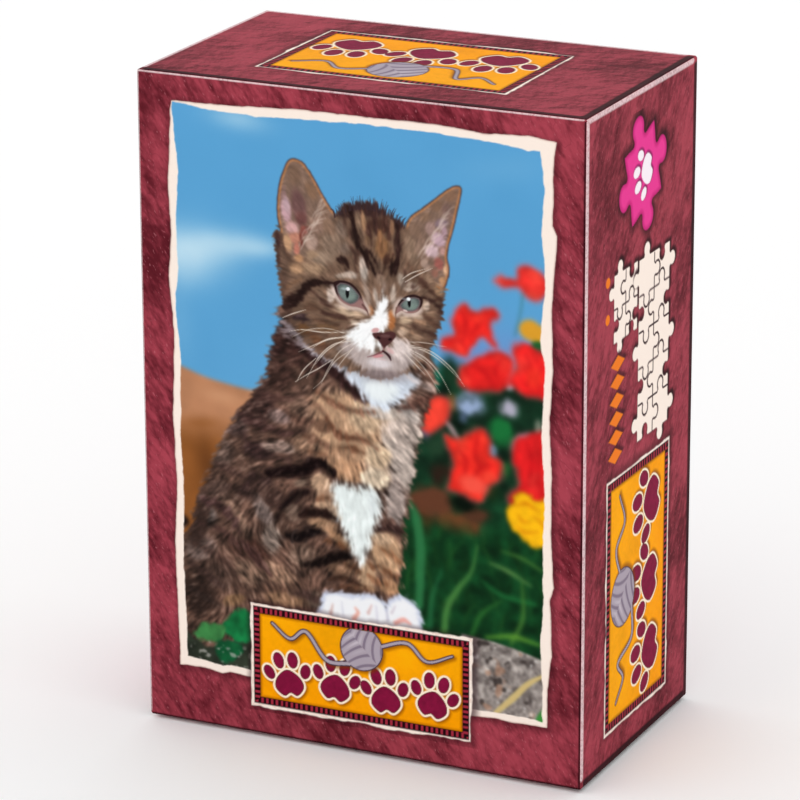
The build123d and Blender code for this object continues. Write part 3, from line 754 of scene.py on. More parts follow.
    # White bib, chest blaze and paws
    bib = c.depth([
        (30.4, 56.6), (31.6, 55.2), (32.8, 54), (34.2, 52.6), (35.4, 51.7), (37.2, 51.2), (39, 51.6),
        (40, 53), (41.2, 54), (42.4, 55.2), (42.8, 56.2), (41, 57), (36, 56.6),
    ])
    fur(c, hair, srgb(206, 214, 226), laid(bib, 0.5, 1.1) * coat, 0.07, 0.0)
    brightest = c.depth([(34.2, 54.6), (35.2, 52.6), (37.4, 52.0), (38.8, 52.8), (39.4, 54.4), (37.0, 55.2)])
    c.paint(srgb(240, 246, 246), laid(brightest, 0.8, 0.6) * 0.85)
    shaded = ramp(0.0, 0.9, 1.25 * c.blob(37.4, 56.0, 5.4, 1.5, 4))
    c.paint(srgb(150, 140, 144), laid(bib, 0.5, 0.8) * coat * 0.62 * shaded)
    shoulder = c.stroke([(40.8, 56.4), (42.6, 55.6), (44.2, 55.0)], (0.1, 0.5, 0.4))
    fur(c, hair, srgb(176, 162, 158), laid(shoulder, 0.6) * coat * 0.6, 0.2, 0.2)
    blaze = c.depth([
        (29.4, 38.6), (31, 39.4), (33.2, 39.3), (35, 39.6), (36.5, 38.8), (36.9, 36.8), (36.2, 34.6),
        (35.3, 31.8), (34.5, 29.4), (33.9, 28), (32.7, 29.2), (31.5, 31.6), (30.5, 34), (29.8, 36.4),
    ])
    fur(c, hair, srgb(232, 240, 238), laid(blaze, 0.75, 1.3), 0.05, 0.0)
    c.paint(srgb(206, 212, 214), c.blob(35.6, 37.0, 1.0, 2.4, 0) * 0.5 * ramp(-0.2, 0.6, blaze))

    paws = np.maximum(
        c.depth([(27.7, 19.0), (27.6, 21.2), (28.2, 22.8), (30.0, 23.3), (32.2, 23.2), (34.6, 23.6),
                 (36.6, 23.4), (37.8, 22.2), (37.8, 19.0)]),
        c.depth([(37.0, 19.0), (36.9, 21.4), (38.0, 23.2), (39.8, 24.2), (41.6, 23.6), (42.7, 22.0),
                 (43.0, 20.2), (42.8, 18.6)]),
    )
    c.paint(srgb(200, 206, 226), ramp(-0.5, 0.15, paws + 0.8 * wisps))
    c.paint(srgb(243, 244, 247), ramp(0.0, 0.8, paws + 0.5 * wisps))
    for points, wide, tint in (
        ([(29, 20), (29.3, 21.4)], (0.3, 0.1), (206, 168, 160)),
        ([(32.6, 19.8), (33.2, 20.8), (32.8, 21.4)], (0.4, 0.15), (232, 160, 142)),
        ([(34.8, 21), (35.3, 22.2)], (0.25, 0.1), (214, 172, 166)),
        ([(37.8, 20.4), (37.6, 22)], (0.2, 0.1), (186, 184, 204)),
        ([(39, 20.2), (40.2, 20.8), (41.2, 20.4)], (0.35, 0.4, 0.2), (236, 158, 146)),
        ([(38.4, 21.6), (38.9, 22.6)], (0.2, 0.1), (206, 196, 206)),
        ([(30.9, 20), (30.7, 22)], (0.15, 0.05), (206, 206, 220)),
        ([(36.2, 20), (36, 22.2)], (0.2, 0.1), (212, 210, 224)),
    ):
        c.paint(srgb(*tint), ramp(-0.25, 0.3, c.stroke(points, wide)) * 0.85)
    c.soften(1)

    # Leaves and pebbles in the lower left corner, in front of the kitten
    for leaf, tint in (
        ([(4.5, 14.6), (7.6, 12.6), (10, 12), (12.6, 13.2), (16.5, 14), (16.5, 8), (4.5, 8)], (44, 50, 40)),
        ([(12, 14.8), (12.8, 17.2), (14.8, 18.2), (16.8, 17.8), (17, 14), (14.2, 13.2)], (22, 112, 60)),
        ([(7.2, 13.4), (8.6, 15.2), (10.8, 15.8), (12.4, 15), (11.8, 13.4), (9.8, 12.6)], (62, 130, 70)),
        ([(11, 12.8), (13.4, 13.6), (15.2, 12.6), (14, 10.4), (12, 10), (10.8, 11.2)], (18, 84, 48)),
    ):
        depth = c.depth(leaf) + 0.5 * c.noise(1.1, 11, 2)
        c.paint(srgb(*tint) * (1 + 0.3 * c.noise(1.4, 28, 2))[..., None], ramp(-0.3, 0.4, depth))
    c.paint(srgb(176, 172, 166), ramp(0.3, 0.7, c.noise(0.7, 29, 2)) * ramp(13.4, 11.8, c.z)
            * ramp(17.5, 15.5, c.x) * 0.7)
    return body, head, left_ear, right_ear, hair, wisps, fine, tuft


def paint_head(c, body, head, left_ear, right_ear, hair, wisps, fine, tuft):
    """The kitten's head: ears, markings, muzzle, eyes, nose and mouth, and the whiskers over them all."""
    short = 0.55 * fine + 0.22 * tuft

    def laid(depth, soft=0.22, ruffle=0.6):
        return ramp(-soft, soft, depth + ruffle * wisps)

    def patch(x, z, rx, rz, lean, tint, amount, contrast=0.15, tips=0.10, within=None):
        bell = c.blob(x, z, rx, rz, lean)
        mask = ramp(0.05, 0.95, amount * bell * (1 + 0.6 * wisps))
        fur(c, short, srgb(*tint) * 0.9, mask * (coat if within is None else within), contrast, tips)

    def stripe(points, wide, tint, amount, ruffle=0.9, soft=0.3):
        fur(c, short, srgb(*tint), laid(c.stroke(points, wide), soft, ruffle) * amount * coat, 0.2, 0.12)

    def line(points, wide, tint, amount=1.0, soft=0.12):
        c.paint(srgb(*tint), ramp(-soft, soft, c.stroke(points, wide)) * amount)

    # The ruff under the chin, where the head's fur lies over the neck
    coat = ramp(-0.3, 0.3, body + wisps)
    for points, wide, tint, amount in (
        ([(21.6, 62), (23.4, 60.6), (25.8, 58.8), (28.6, 57.4), (31.6, 56)], (0.3, 0.8, 0.8, 0.6, 0.3),
         (134, 122, 126), 0.85),
        ([(25.6, 58.6), (28.6, 57.2), (31.2, 56.2)], (0.2, 0.4, 0.2), (186, 180, 186), 0.7),
        ([(21.6, 60.6), (22.8, 59.6), (24.6, 58.6)], (0.2, 0.4, 0.2), (120, 104, 106), 0.7),
    ):
        stripe(points, wide, tint, amount, 1.3, 0.5)

    # Ears: a dark back edge, a tawny rim and the thinly haired inside
    for ear in (left_ear, right_ear):
        coat = ramp(-0.10, 0.12, ear + 0.10 * wisps)
        fur(c, short, srgb(64, 46, 44), coat, 0.15, 0.0)
        fur(c, short, srgb(188, 128, 84), ramp(0.06, 0.26, ear), 0.08, 0.0)
        fur(c, short, srgb(128, 102, 88), ramp(0.22, 0.62, ear + 0.10 * wisps), 0.12, 0.14)

    # The head's own coat
    coat = ramp(-0.25, 0.25, head + 1.0 * wisps)
    fur(c, short, srgb(116, 90, 74) * (1 + 0.12 * c.noise(1.3, 10, 2))[..., None], coat, 0.18, 0.16)
    for x, z, rx, rz, lean, tint, amount in (
        (35.2, 79.2, 3.8, 1.5, 0, (66, 44, 42), 1.7), (31.6, 78.4, 1.8, 1.3, 10, (64, 44, 42), 1.5),
        (39.4, 77.6, 1.4, 1.2, 0, (66, 44, 40), 1.4), (36.6, 77, 2.4, 1.6, 0, (84, 56, 46), 1.4),
        (33.6, 77.4, 0.55, 1.9, 4, (150, 120, 98), 1.3), (31, 75.8, 1.2, 1.9, 10, (138, 114, 100), 1.3),
        (29.6, 73.6, 2.4, 2.6, 0, (148, 122, 104), 1.3), (28, 71.4, 2.6, 1.6, 0, (160, 134, 114), 1.3),
        (41.6, 74.4, 1.4, 2.6, 14, (150, 122, 102), 1.4), (37.2, 74, 1.6, 2.2, 0, (146, 104, 72), 1.4),
        (38.6, 72.8, 0.7, 1.4, 0, (150, 112, 86), 1.1), (35.2, 75.2, 0.9, 1.8, -10, (128, 96, 74), 1.1),
        (31.6, 73.2, 1.2, 1.4, 0, (140, 116, 102), 1.1), (34.4, 70.4, 0.8, 2.2, 6, (196, 180, 168), 1.4),
        (32.6, 69.6, 1.1, 0.7, -10, (190, 174, 162), 1.4), (31.2, 69.3, 1.6, 0.5, 8, (176, 154, 138), 1.2),
        (36.9, 69.6, 1, 1.4, 0, (150, 122, 104), 1.2), (40, 69.8, 0.8, 1.4, 10, (184, 164, 148), 1.3),
        (41.6, 69.2, 1.6, 0.8, -10, (178, 156, 140), 1.2), (26.6, 69.8, 2.8, 1.2, 0, (178, 144, 116), 1.2),
        (24.2, 69.6, 1.6, 1.3, 0, (190, 148, 114), 1.2), (22.6, 68.4, 0.9, 2.6, 4, (112, 86, 72), 1.2),
        (21.4, 73.2, 0.6, 1.8, 4, (72, 48, 46), 1.1), (21.4, 70.4, 0.5, 1.6, 0, (84, 60, 52), 1),
        (45.6, 69, 0.9, 1.2, 0, (186, 146, 112), 1.3), (44.2, 70.6, 0.9, 0.9, 30, (160, 128, 106), 1.2),
        (43.6, 72.6, 0.9, 1.4, 20, (156, 128, 112), 1.1), (29.6, 66.4, 0.7, 1.8, -24, (218, 196, 182), 1.5),
        (31.2, 64.7, 1.8, 0.5, -14, (214, 188, 168), 1.4),
        (33.4, 64.2, 1.4, 0.7, -10, (212, 178, 150), 1.4), (27.8, 66, 1, 1.2, 0, (140, 112, 94), 1.2),
        (26.4, 64.6, 1.6, 0.9, 0, (118, 90, 72), 1.1), (30.2, 63.2, 1.8, 0.6, 0, (138, 108, 84), 1.1),
        (28.6, 61.6, 2.6, 0.9, 0, (124, 92, 68), 1.3), (25.2, 61, 1.6, 1.2, -30, (112, 78, 52), 1.3),
        (27.4, 59.6, 2, 0.9, -28, (124, 84, 60), 1.3), (31.4, 58.6, 1.8, 1, -20, (150, 130, 120), 1.4),
        (30, 58, 1.4, 0.7, -24, (140, 112, 94), 1.1), (23, 63.2, 0.9, 1.2, 0, (96, 70, 58), 1.2),
        (34.9, 67.2, 0.6, 2, 14, (180, 154, 138), 1.3), (35.4, 64.9, 0.6, 1, 24, (200, 136, 92), 1.3),
        (36.2, 67, 0.5, 1.6, 10, (196, 176, 162), 1.2), (38.8, 67.6, 0.6, 1.8, -4, (206, 184, 168), 1.4),
        (39.4, 65.4, 0.4, 0.9, 0, (160, 116, 88), 1.1), (38.5, 63.9, 0.75, 1.7, 0, (190, 120, 72), 1.7),
        (40.6, 64.4, 1, 0.8, 0, (218, 190, 168), 1.4), (42.4, 64.9, 1.4, 0.6, 8, (196, 168, 146), 1.4),
        (43.6, 66.6, 0.5, 1.1, 8, (204, 176, 154), 1.4), (40.4, 62.6, 1, 0.9, 0, (200, 166, 140), 1.4),
        (42.2, 62, 1.2, 0.5, 0, (170, 138, 114), 1.2), (44.4, 65.4, 0.9, 0.8, 20, (150, 118, 96), 1.2),
        (44, 61, 1, 1.6, 20, (120, 92, 76), 1.2), (42.6, 59.8, 1.2, 1.2, 20, (150, 130, 120), 1.3),
        (41, 58.2, 1.4, 0.9, 20, (128, 110, 102), 1.2),
    ):
        patch(x, z, rx, rz, lean, tint, amount)
    black, dark, brown = (34, 20, 18), (66, 44, 38), (96, 70, 56)
    for points, wide, tint, amount in (
        ([(32.4, 79), (32.7, 77.2), (33.1, 75.6), (33.6, 74), (34.6, 72.8), (35.4, 71.6), (36, 70.3)],
         (0.35, 0.4, 0.55, 0.55, 0.35, 0.4, 0.15), black, 0.97),
        ([(39.2, 78.4), (39.5, 76.6), (39.7, 75), (39.5, 73.6), (39.2, 72.2)], (0.3, 0.45, 0.5, 0.35, 0.2),
         (46, 28, 26), 0.95), ([(39.4, 72.4), (38.9, 71.4), (38.6, 70.2)], (0.3, 0.5, 0.2), black, 0.95),
        ([(38.3, 74), (38, 72.6), (37.5, 71.2), (37.3, 70.4)], (0.1, 0.26, 0.3, 0.12), (54, 34, 28), 0.92),
        ([(35.2, 73.2), (36, 72.2), (36.6, 71.2), (36.8, 70.4)], (0.15, 0.34, 0.3, 0.1), black, 0.92),
        ([(34.3, 78.8), (34.6, 77), (35.4, 75.4), (35.7, 74.2)], (0.3, 0.32, 0.24, 0.1), (58, 36, 32),
         0.85), ([(36, 79), (36.1, 77.4), (36.3, 76)], (0.4, 0.5, 0.2), (62, 40, 36), 0.85),
        ([(37.6, 78.8), (37.8, 77), (38.2, 75.4)], (0.4, 0.42, 0.15), (64, 40, 34), 0.85),
        ([(36.8, 76.2), (37, 74.8), (37, 73.4)], (0.1, 0.2, 0.08), (104, 70, 50), 0.8),
        ([(31.6, 78.6), (31.7, 76.8), (32.1, 75.2)], (0.4, 0.3, 0.1), dark, 0.8),
        ([(30.9, 71.6), (31.5, 71.4), (31.9, 71), (32, 70.1)], (0.25, 0.42, 0.35, 0.12), black, 0.95),
        ([(33.2, 72.4), (33.1, 71), (33.3, 70), (33.5, 69.2)], (0.1, 0.2, 0.24, 0.08), dark, 0.9),
        ([(29, 70.9), (29.5, 70.2), (29.8, 69.4)], (0.1, 0.22, 0.08), (110, 84, 70), 0.8),
        ([(32.3, 73.6), (32.9, 72.9), (33.6, 72.6)], (0.1, 0.24, 0.2), dark, 0.8),
        ([(40.6, 70.9), (40.5, 69.8), (40.2, 68.8)], (0.12, 0.24, 0.08), dark, 0.9),
        ([(41.4, 71), (42.2, 70.7), (43, 70), (43.6, 69.2)], (0.2, 0.36, 0.36, 0.15), (74, 50, 42), 0.9),
        ([(41.9, 70.2), (41.8, 69.4), (41.5, 68.8)], (0.1, 0.16, 0.06), dark, 0.8),
        ([(41, 72.2), (41.6, 71.6), (42.4, 71.2)], (0.1, 0.18, 0.1), brown, 0.7),
        ([(22.4, 64.2), (23.6, 64.8), (24.6, 65.8), (25.6, 67), (26.8, 67.8), (28.2, 68), (29.8, 67.9)],
         (0.6, 0.9, 0.75, 0.62, 0.52, 0.34, 0.22), black, 0.97),
        ([(22.6, 66.6), (23.8, 67.4), (25, 68.2)], (0.2, 0.3, 0.15), (116, 86, 66), 0.8),
        ([(26.8, 66.4), (28, 65.4), (29, 64.8), (30.2, 64.6)], (0.15, 0.3, 0.3, 0.12), dark, 0.9),
        ([(25.4, 64.2), (27, 64.4), (28.4, 63.8)], (0.2, 0.3, 0.15), (84, 60, 48), 0.85),
        ([(28.2, 63.8), (29.6, 63.5), (31, 63.5), (31.8, 63.1)], (0.2, 0.34, 0.3, 0.12), dark, 0.9),
        ([(23.8, 62.3), (25.2, 62.4), (26.2, 62.2)], (0.3, 0.55, 0.2), (48, 34, 36), 0.92),
        ([(26.6, 62.6), (28.4, 62.6), (30.4, 62.3)], (0.2, 0.3, 0.12), (80, 56, 44), 0.85),
        ([(24.4, 60), (26, 60.4), (28.6, 60.6)], (0.2, 0.3, 0.12), (78, 52, 40), 0.85),
        ([(26.6, 58.7), (28.4, 58.9), (30.4, 59.5)], (0.2, 0.26, 0.1), (84, 58, 46), 0.8),
        ([(31.8, 62), (32.6, 61.9), (33.1, 62)], (0.1, 0.2, 0.08), dark, 0.7),
        ([(27.4, 57.6), (29, 57.4), (30.6, 57.2)], (0.15, 0.25, 0.12), (90, 66, 56), 0.7),
        ([(43.2, 67.8), (44.4, 67.5), (45.4, 66.9), (46.2, 66)], (0.2, 0.34, 0.36, 0.25), (50, 32, 28),
         0.95),
        ([(43.6, 69.4), (44.6, 68.6), (45.6, 67.9), (46.4, 67.2)], (0.2, 0.32, 0.4, 0.3), (66, 44, 36),
         0.9), ([(41.8, 63.6), (43, 63.1), (44.2, 62.9), (45.2, 62.6)], (0.2, 0.4, 0.42, 0.3), dark, 0.92),
        ([(43.4, 65.2), (44.4, 64.6), (45.4, 63.9)], (0.15, 0.36, 0.35), (88, 62, 50), 0.9),
        ([(42.6, 61), (44, 61.3), (45, 61.8)], (0.2, 0.36, 0.3), (84, 60, 48), 0.85),
        ([(41.4, 65), (42.6, 64.3), (43.4, 64.2)], (0.1, 0.2, 0.12), (150, 116, 92), 0.8),
        ([(43.8, 59.6), (44.4, 60.6)], (0.2, 0.3), (96, 74, 62), 0.8),
        ([(40, 61.4), (41, 61.9), (41.6, 62.6)], (0.1, 0.18, 0.1), (150, 116, 92), 0.7),
    ):
        stripe(points, wide, tint, amount)

    for x, z, rx, rz, lean, tint, amount in (
        (34.4, 77.4, 0.5, 1.8, 6, (176, 134, 102), 1.5), (38.7, 77, 0.4, 1.6, 0, (160, 118, 90), 1.4),
        (36.9, 75.6, 0.5, 1.2, 0, (164, 116, 82), 1.3), (31.6, 64.2, 2.2, 0.55, -8, (208, 178, 150), 1.4),
        (40.7, 64.2, 1.3, 0.7, 20, (214, 182, 152), 1.4), (34.2, 71.4, 0.5, 1.3, 12, (206, 184, 170), 1.3),
        (41, 68.6, 0.9, 0.4, 0, (206, 182, 166), 1.3), (32.2, 69.6, 1.5, 0.5, 6, (208, 184, 168), 1.4),
        (29.3, 66.4, 0.6, 1.2, 20, (212, 190, 176), 1.3), (43.9, 66.6, 0.5, 1, 0, (208, 182, 164), 1.2),
        (33, 62.9, 1, 0.5, 0, (222, 196, 174), 1.3), (40, 62.4, 0.8, 0.6, 0, (216, 184, 160), 1.3),
    ):
        patch(x, z, rx, rz, lean, tint, amount)
    left_edge = ramp(1.6, -0.2, head) * ramp(26.5, 22.5, c.x)
    right_edge = ramp(1.4, -0.2, head) * ramp(43.0, 45.6, c.x) * ramp(70, 67, c.z)
    edge = np.maximum(left_edge, right_edge)
    fur(c, short, srgb(58, 40, 36), edge * ramp(-0.2, 0.3, head + wisps) * 0.6, 0.2, 0.2)

    # The insides of the ears, with pale hairs fanning over them
    left_spots = (
        (24, 82.6, 1.4, 2, 0, (136, 106, 88), 1.4), (26.6, 80.8, 1.2, 2, 30, (146, 112, 90), 1.2),
        (24.6, 78.6, 1.5, 2.8, 10, (122, 88, 84), 1.5), (25, 76.6, 1.2, 1.4, 0, (122, 80, 76), 1.4),
        (22.4, 79.6, 0.6, 1.8, 0, (158, 124, 118), 1.3), (22.7, 77.4, 0.9, 2, 12, (206, 164, 168), 1.7),
        (23.6, 75.2, 1.3, 1.2, 10, (216, 168, 164), 1.6), (24, 73.8, 1.4, 1, 0, (200, 138, 116), 1.5),
        (22.9, 73, 0.8, 1.6, 12, (206, 160, 124), 1.5), (25.4, 75, 0.8, 1, -20, (150, 88, 78), 1.5),
        (26.2, 75.4, 0.7, 0.4, 20, (126, 78, 68), 1.3), (24.3, 72.3, 0.6, 1.2, 0, (196, 126, 108), 1.4),
        (25, 73.6, 0.3, 1.2, 10, (122, 62, 52), 1.5), (22.8, 78.4, 0.7, 1.4, 10, (206, 170, 176), 1.5),
        (26.6, 73.4, 1.2, 1.4, 0, (190, 158, 142), 1.5), (27.4, 76.2, 1.5, 1.6, 10, (156, 124, 108), 1.4),
        (29.2, 76, 1.1, 1.6, 25, (150, 118, 98), 1.3), (28.4, 78.4, 0.9, 1.4, 32, (138, 106, 88), 1.3),
        (26.6, 71.6, 1.4, 1, 0, (172, 140, 114), 1.3), (24.6, 71, 1, 0.7, 0, (190, 142, 106), 1.3),
    )
    right_spots = (
        (47.4, 82.4, 1.4, 1, 35, (150, 114, 92), 1.4), (45.4, 80.8, 1.5, 0.9, 38, (142, 110, 90), 1.4),
        (46.8, 80.2, 1, 1.5, 10, (136, 106, 96), 1.4), (46, 78.4, 1.4, 0.9, 20, (150, 124, 128), 1.6),
        (43.6, 79, 1.3, 0.9, 36, (146, 114, 94), 1.3), (42.2, 77, 1.1, 1.7, 14, (144, 114, 96), 1.3),
        (44.4, 77.4, 1, 1.4, 14, (170, 138, 128), 1.4), (45.6, 76.2, 1.3, 1.3, 0, (202, 168, 176), 1.6),
        (44.6, 74.4, 1.3, 1.2, 0, (218, 186, 188), 1.6), (46.4, 77.4, 0.6, 1.4, 10, (186, 152, 158), 1.4),
        (46.2, 74.6, 0.7, 0.8, 0, (206, 158, 148), 1.4), (45.6, 72.8, 0.9, 1, 10, (170, 104, 94), 1.6),
        (45, 71.4, 0.7, 0.8, 0, (160, 112, 96), 1.4), (46.7, 72, 0.5, 1.2, 0, (226, 178, 142), 1.6),
        (46.2, 70.4, 0.7, 0.9, 20, (204, 154, 116), 1.5), (43.6, 72.4, 0.9, 1.2, 20, (178, 148, 132), 1.3),
        (42.6, 74.4, 0.8, 1.3, 14, (156, 126, 108), 1.2),
    )
    for ear, spots in ((left_ear, left_spots), (right_ear, right_spots)):
        inside = 1.12 * ramp(0.24, 0.6, ear + 0.1 * wisps)
        for x, z, rx, rz, lean, tint, amount in spots:
            patch(x, z, rx, rz, lean, tint, amount, 0.09, 0.10, inside)
    rng = np.random.default_rng(5)
    for ear, count, x, z, way, low in ((left_ear, 26, 25.2, 73.0, 1, 0.16),
                                       (right_ear, 20, 43.0, 73.6, 0.75, 0.2)):
        for k in range(count):
            sx, sz = x + low * k + rng.uniform(-0.5, 0.5), z + 0.32 * k + rng.uniform(-0.4, 0.4)
            bend = [(sx - 0.5, sz - 0.9), (sx + 0.2, sz + 0.4), (sx + 1.4 * way, sz + 1.0)]
            line(bend, (0.02, 0.07, 0.02), (228, 206, 192), 0.55 * ramp(0.2, 0.6, ear), 0.10)

    # Muzzle, chin and blaze
    coat = ramp(-0.2, 0.2, head + 0.6 * wisps)
    muzzle = c.depth([
        (31.2, 59.6), (32.4, 57.6), (34.6, 56.2), (37.0, 55.7), (39.6, 56.4), (41.4, 58.0), (42.0, 60.0),
        (39.0, 60.4), (36.0, 59.0), (33.4, 60.4),
    ])
    fur(c, short, srgb(178, 162, 158), laid(muzzle, 0.6, 0.9) * coat, 0.07, 0.1)
    under_chin, chin = c.blob(36.8, 55.9, 4.4, 1.0, 6), c.blob(36.7, 57.6, 2.5, 0.95, 0)
    fur(c, short, srgb(126, 110, 110), ramp(0.0, 0.8, 1.2 * under_chin) * 0.8 * coat, 0.08, 0.0)
    fur(c, short, srgb(224, 214, 216), ramp(0.0, 0.8, 1.1 * chin) * 0.9, 0.04, 0.0)
    pad = c.depth([
        (34.4, 63.2), (33.4, 62.3), (32.2, 61.5), (31.5, 60.9), (32.1, 60.2), (33.2, 59.7), (34.6, 59.4),
        (36.1, 59.4), (37.0, 60.2), (36.4, 61.2), (35.6, 62.2),
    ])
    fur(c, short, srgb(249, 250, 250), laid(pad, 0.7, 1.2), 0.04, 0.0)
    pad = c.depth([
        (38.6, 61.1), (39.6, 61.5), (41.0, 61.2), (41.8, 60.4), (41.6, 59.5), (40.4, 58.8), (38.9, 58.8),
        (37.9, 59.6),
    ])
    fur(c, short, srgb(222, 206, 201), laid(pad, 0.7, 1.2), 0.08, 0.0)
    blaze = c.depth([
        (37.3, 68.1), (36.9, 66.9), (36.5, 65.7), (35.9, 64.6), (35.2, 63.6), (34, 62.8), (34.4, 61.6),
        (36, 61.6), (37.4, 62.2), (37.9, 63.2), (38, 64.6), (37.8, 65.8), (37.6, 67),
    ])
    fur(c, short, srgb(250, 250, 250), laid(blaze, 0.32, 0.7), 0.03, 0.0)
    c.paint(srgb(196, 178, 172), 0.35 * c.blob(37.5, 68.6, 0.5, 0.9))
    for row in range(4):
        for k in range(4):
            x, z = 32.6 + 0.75 * k + 0.2 * (row % 2), 60.6 - 0.5 * row - 0.1 * k
            line([(x, z), (x + 0.05, z)], (0.06,), (176, 150, 140), 0.3, 0.12)
            line([(x + 7.2, z - 0.1), (x + 7.25, z - 0.1)], (0.06,), (150, 122, 112), 0.3, 0.12)

    c.soften(1)

    # Eyes: pale skin round them, a thin dark lid, the iris with its darker edge, slit pupil, and the glint
    # of the sky
    eyes = (
        ([(29.9, 68.2), (30.9, 68.6), (32.2, 68.5), (33.2, 67.9), (33.9, 67), (34.3, 66), (34.9, 64.8),
         (34.2, 65), (33.4, 65.15), (32.2, 65.2), (31, 65.7), (30.3, 66.6), (30, 67.4)], (31.9, 66.95),
         (1.86, 1.56), (31.9, 66.95), 0.27, 0.72, (32, 67.55)),
        ([(39.2, 65), (39.5, 66.2), (40.2, 67.2), (41.2, 67.8), (42.2, 67.95), (43.1, 67.6), (43.1, 66.8),
         (42.6, 65.9), (41.8, 65.4), (40.8, 65.3), (40, 65.5)], (41.35, 66.65), (1.6, 1.34), (41.2, 66.75),
         0.24, 0.64, (41.1, 67.25)),
    )
    for rim, (x, z), (rx, rz), (px, pz), slit, tall, (gx, gz) in eyes:
        lid = c.depth(rim)
        c.paint(srgb(226, 204, 194), ramp(-0.85, -0.2, lid) * ramp(0.9, -0.5, c.z - z + 0.3 * (c.x - x))
                * 0.75)
        c.paint(srgb(44, 26, 26), ramp(-0.14, 0.06, lid) * ramp(-1.7, -0.2, c.z - z))
        c.paint(srgb(150, 112, 108), ramp(-0.12, 0.08, lid) * ramp(0.0, -1.1, c.z - z))
        ball = 1 - np.hypot((c.x - x) / rx, (c.z - z) / rz)
        opening = np.minimum(lid - 0.26 - 0.10 * ramp(-0.2, 0.6, c.z - z), ball * min(rx, rz))
        c.paint(srgb(112, 96, 98), ramp(-0.14, 0.06, opening))
        rays = 0.04 * np.sin(26 * np.arctan2(c.z - pz, c.x - px)) + 0.05 * c.noise(0.35, 31)
        iris = srgb(114, 126, 122) * (1 + rays - 0.30 * ramp(0.5, 0.95, 1 - ball))[..., None]
        iris = iris + (srgb(128, 148, 136) - iris) * (0.6 * c.blob(px + 0.5, pz - 0.5, 1.0, 0.7))[..., None]
        c.paint(iris, ramp(0.0, 0.24, opening))
        c.paint(srgb(66, 70, 74), 0.6 * ramp(0.5, 0.0, lid - 0.25) * ramp(0.0, 0.8, c.z - z)
                * ramp(0, 0.2, opening))
        pupil = 1 - ((c.x - px) / slit) ** 2 - ((c.z - pz) / tall) ** 2
        c.paint(srgb(14, 14, 16), ramp(-0.5, 0.5, pupil) * ramp(-0.05, 0.12, opening))
        glint = 1 - np.hypot((c.x - gx) / 0.28, (c.z - gz) / 0.24)
        c.paint(srgb(250, 252, 255), ramp(-0.4, 0.35, glint))
        sheen = 1 - np.hypot((c.x - gx + 0.5) / 0.6, (c.z - gz + 0.05) / 0.2)
        c.paint(srgb(206, 220, 224), ramp(-0.3, 0.5, sheen) * 0.35)
    line([(34.2, 65.6), (34.8, 64.9), (35.1, 64.2)], (0.14, 0.14, 0.05), (92, 62, 58), 0.85)
    line([(39.3, 65.8), (39.15, 65.0), (39.2, 64.4)], (0.12, 0.10, 0.04), (110, 78, 66), 0.8)
    line([(30.0, 68.1), (29.3, 68.1), (28.4, 68.0)], (0.16, 0.16, 0.12), (44, 26, 24), 0.9)
    line([(43.0, 67.7), (43.7, 67.7)], (0.14, 0.1), (52, 32, 28), 0.9)
    c.paint(srgb(236, 214, 206), ramp(0.1, 0.7, c.blob(40.6, 65.55, 0.5, 0.22, -12)) * 0.8)

    # Nose and mouth
    c.paint(srgb(206, 150, 150), ramp(0.15, 0.7, c.blob(36.1, 62.2, 0.9, 0.5, 20)) * 0.9)
    nose = c.depth([
        (35.7, 61.7), (36.4, 61.95), (37.3, 62.0), (38.2, 62.3), (39.0, 62.2), (39.1, 61.7), (38.6, 61.0),
        (37.9, 60.3), (37.4, 59.8), (37.0, 60.2), (36.5, 60.8), (35.9, 61.2),
    ])
    c.paint(srgb(76, 44, 44), ramp(-0.14, 0.14, nose + 0.05 * c.noise(0.5, 33)))
    c.paint(srgb(118, 84, 82), ramp(0.1, 0.7, c.blob(37.6, 61.6, 1.1, 0.35, 6)) * 0.55)
    c.paint(srgb(34, 16, 18), ramp(0.2, 0.7, c.blob(36.6, 61.2, 0.45, 0.28, -20)))
    c.paint(srgb(34, 16, 18), ramp(0.2, 0.7, c.blob(38.3, 61.2, 0.45, 0.28, 20)))
    line([(37.3, 59.9), (37.3, 59.4)], (0.10, 0.08), (140, 96, 96), 0.8)
    c.paint(srgb(206, 152, 152), ramp(0.1, 0.7, c.blob(38.3, 59.6, 0.9, 0.5, -30)) * 0.5)
    c.paint(srgb(206, 142, 146), ramp(0.1, 0.7, 1.2 * c.blob(36.5, 58.6, 1.1, 0.32, 16)))
    line([(34.9, 58.25), (35.8, 58.6), (36.6, 59.0), (37.3, 59.4)],
         (0.03, 0.08, 0.12, 0.12), (120, 70, 74), 0.9)
    line([(37.2, 59.4), (37.8, 59.1), (38.2, 58.7), (38.4, 58.25)],
         (0.12, 0.2, 0.2, 0.08), (48, 24, 28), 0.95)
    c.paint(srgb(214, 186, 186), ramp(0.1, 0.7, c.blob(37.0, 58.2, 1.0, 0.25, 0)) * 0.6)

